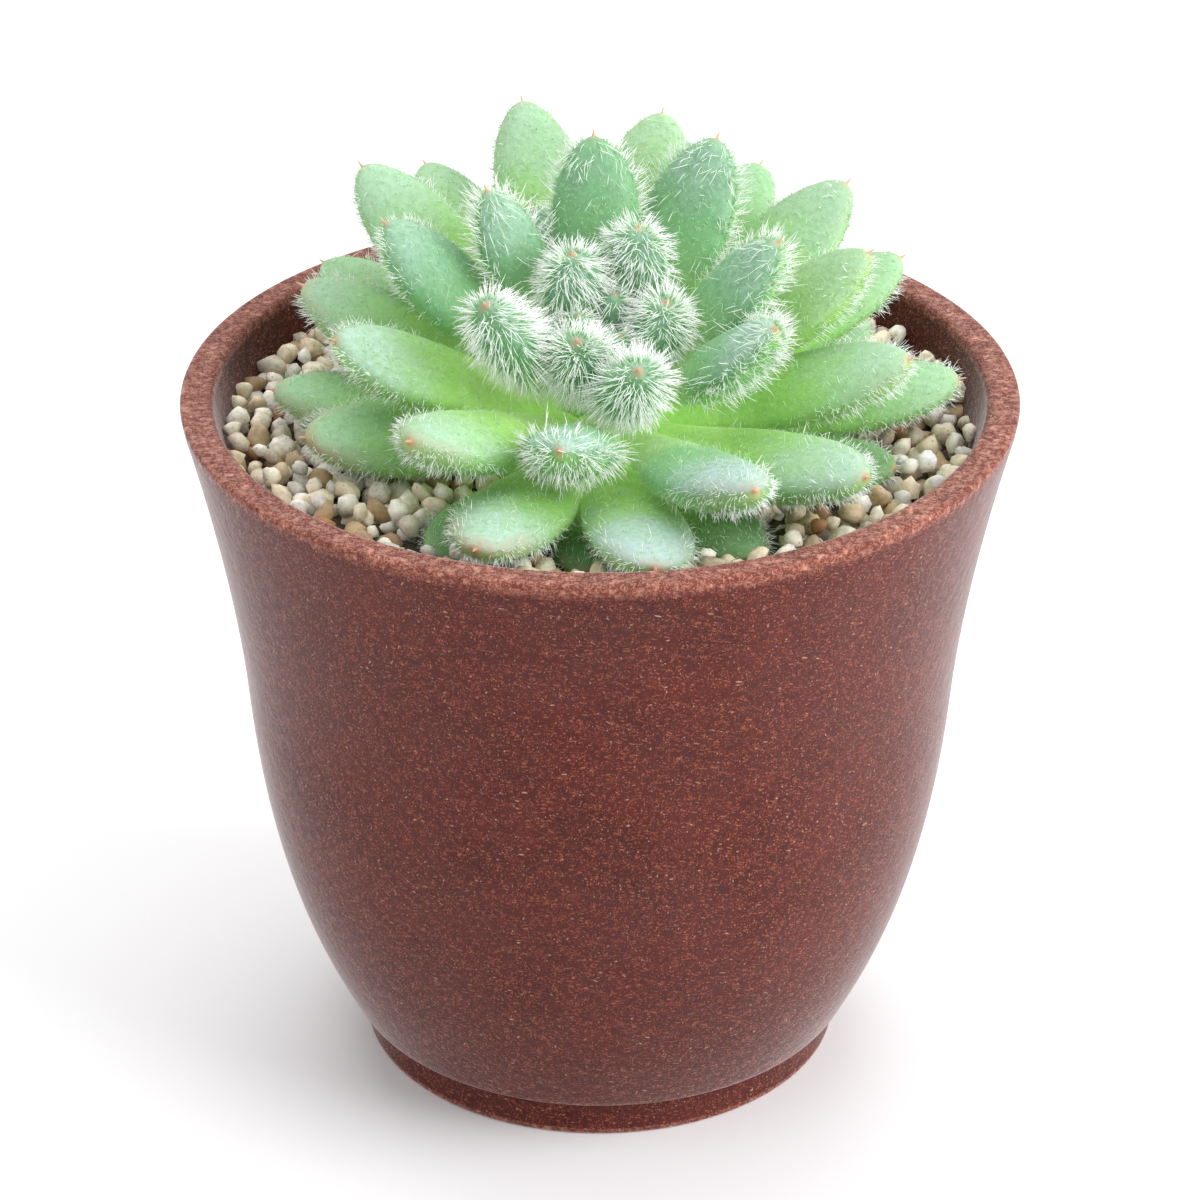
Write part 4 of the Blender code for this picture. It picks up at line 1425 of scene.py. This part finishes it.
class SUCCULENT_OT_stage(bpy.types.Operator):
    """Sets up the pale floor, the soft lights and the camera"""

    bl_idname = "succulent.stage"
    bl_label = "Studio"

    def execute(self, context):
        looks = context.scene.succulent_studio
        self.add_floor(looks)
        self.add_surround(context, looks)
        for name, (place, size) in LIGHTS.items():
            self.add_light(name, place, size, getattr(looks, f"{name}_power"))
        self.add_camera(context, looks)
        context.scene.view_settings.view_transform = "Standard"
        context.scene.view_settings.look = "None"
        return {"FINISHED"}

    def add_floor(self, looks):
        corners = [(x * FLOOR_HALF, y * FLOOR_HALF, 0.0) for x, y in ((-1, -1), (1, -1), (1, 1), (-1, 1))]
        mesh = bpy.data.meshes.new("studio_floor")
        mesh.from_pydata(corners, [], [(0, 1, 2, 3)])
        material, make = new_material("floor_card")
        soft = make.noise(make.object_coordinates(), 30.0, 2.0)
        make.surface(Base_Color=colour(looks.floor_colour), Roughness=make.eased(soft, 0.2, 0.8, 0.5, 0.6))
        mesh.materials.append(material)
        floor = bpy.data.objects.new("studio_floor", mesh)
        bpy.context.scene.collection.objects.link(floor)

    def add_surround(self, context, looks):
        world = bpy.data.worlds.new("studio_surround")
        world.use_nodes = True
        background = world.node_tree.nodes["Background"]
        background.inputs["Color"].default_value = (1.0, 1.0, 1.0, 1.0)
        background.inputs["Strength"].default_value = looks.sky_strength
        context.scene.world = world

    def add_light(self, name, place, size, power):
        data = bpy.data.lights.new(f"studio_{name}", "AREA")
        data.shape = "SQUARE"
        data.size = size
        data.energy = power
        light = bpy.data.objects.new(f"studio_{name}", data)
        light.location = place
        light.rotation_euler = (Vector((0, 0, LIT_HEIGHT)) - Vector(place)).to_track_quat("-Z", "Y").to_euler()
        bpy.context.scene.collection.objects.link(light)

    def add_camera(self, context, looks):
        data = bpy.data.cameras.new("studio_camera")
        data.sensor_width = 36.0
        data.lens = looks.camera_lens
        data.clip_start = 0.01
        camera = bpy.data.objects.new("studio_camera", data)
        target = Vector((0.0, 0.0, looks.camera_target))
        back = Vector((0.0, -math.cos(looks.camera_height), math.sin(looks.camera_height)))
        camera.location = target + back * looks.camera_distance
        camera.rotation_euler = (-back).to_track_quat("-Z", "Y").to_euler()
        bpy.context.scene.collection.objects.link(camera)
        context.scene.camera = camera


class SUCCULENT_PT_panel(bpy.types.Panel):
    """Lists the settings and the operators"""

    bl_idname = "SUCCULENT_PT_panel"
    bl_label = "Potted succulent"
    bl_space_type = "VIEW_3D"
    bl_region_type = "UI"
    bl_category = "Succulent"

    def draw(self, context):
        layout = self.layout
        for operator in OPERATORS:
            layout.operator(operator.bl_idname)
        for name in SETTINGS:
            box = layout.box()
            looks = getattr(context.scene, name)
            for key in looks.bl_rna.properties.keys():
                if key not in {"rna_type", "name"}:
                    box.prop(looks, key)


SETTINGS = {
    "succulent_pot": PotLooks,
    "succulent_leaves": LeafLooks,
    "succulent_grit": GritLooks,
    "succulent_studio": StudioLooks,
}
OPERATORS = (
    SUCCULENT_OT_pot,
    SUCCULENT_OT_soil,
    SUCCULENT_OT_grit,
    SUCCULENT_OT_stem,
    SUCCULENT_OT_leaves,
    SUCCULENT_OT_hairs,
    SUCCULENT_OT_stage,
)


def register():
    for cls in (*SETTINGS.values(), *OPERATORS, SUCCULENT_PT_panel):
        bpy.utils.register_class(cls)
    for name, cls in SETTINGS.items():
        setattr(bpy.types.Scene, name, bpy.props.PointerProperty(type=cls))


def unregister():
    for name in SETTINGS:
        delattr(bpy.types.Scene, name)
    for cls in reversed((*SETTINGS.values(), *OPERATORS, SUCCULENT_PT_panel)):
        bpy.utils.unregister_class(cls)


def main():
    register()
    bpy.ops.succulent.pot()
    bpy.ops.succulent.soil()
    bpy.ops.succulent.grit()
    bpy.ops.succulent.stem()
    bpy.ops.succulent.leaves()
    bpy.ops.succulent.hairs()
    bpy.ops.succulent.stage()


if __name__ == "__main__":
    main()
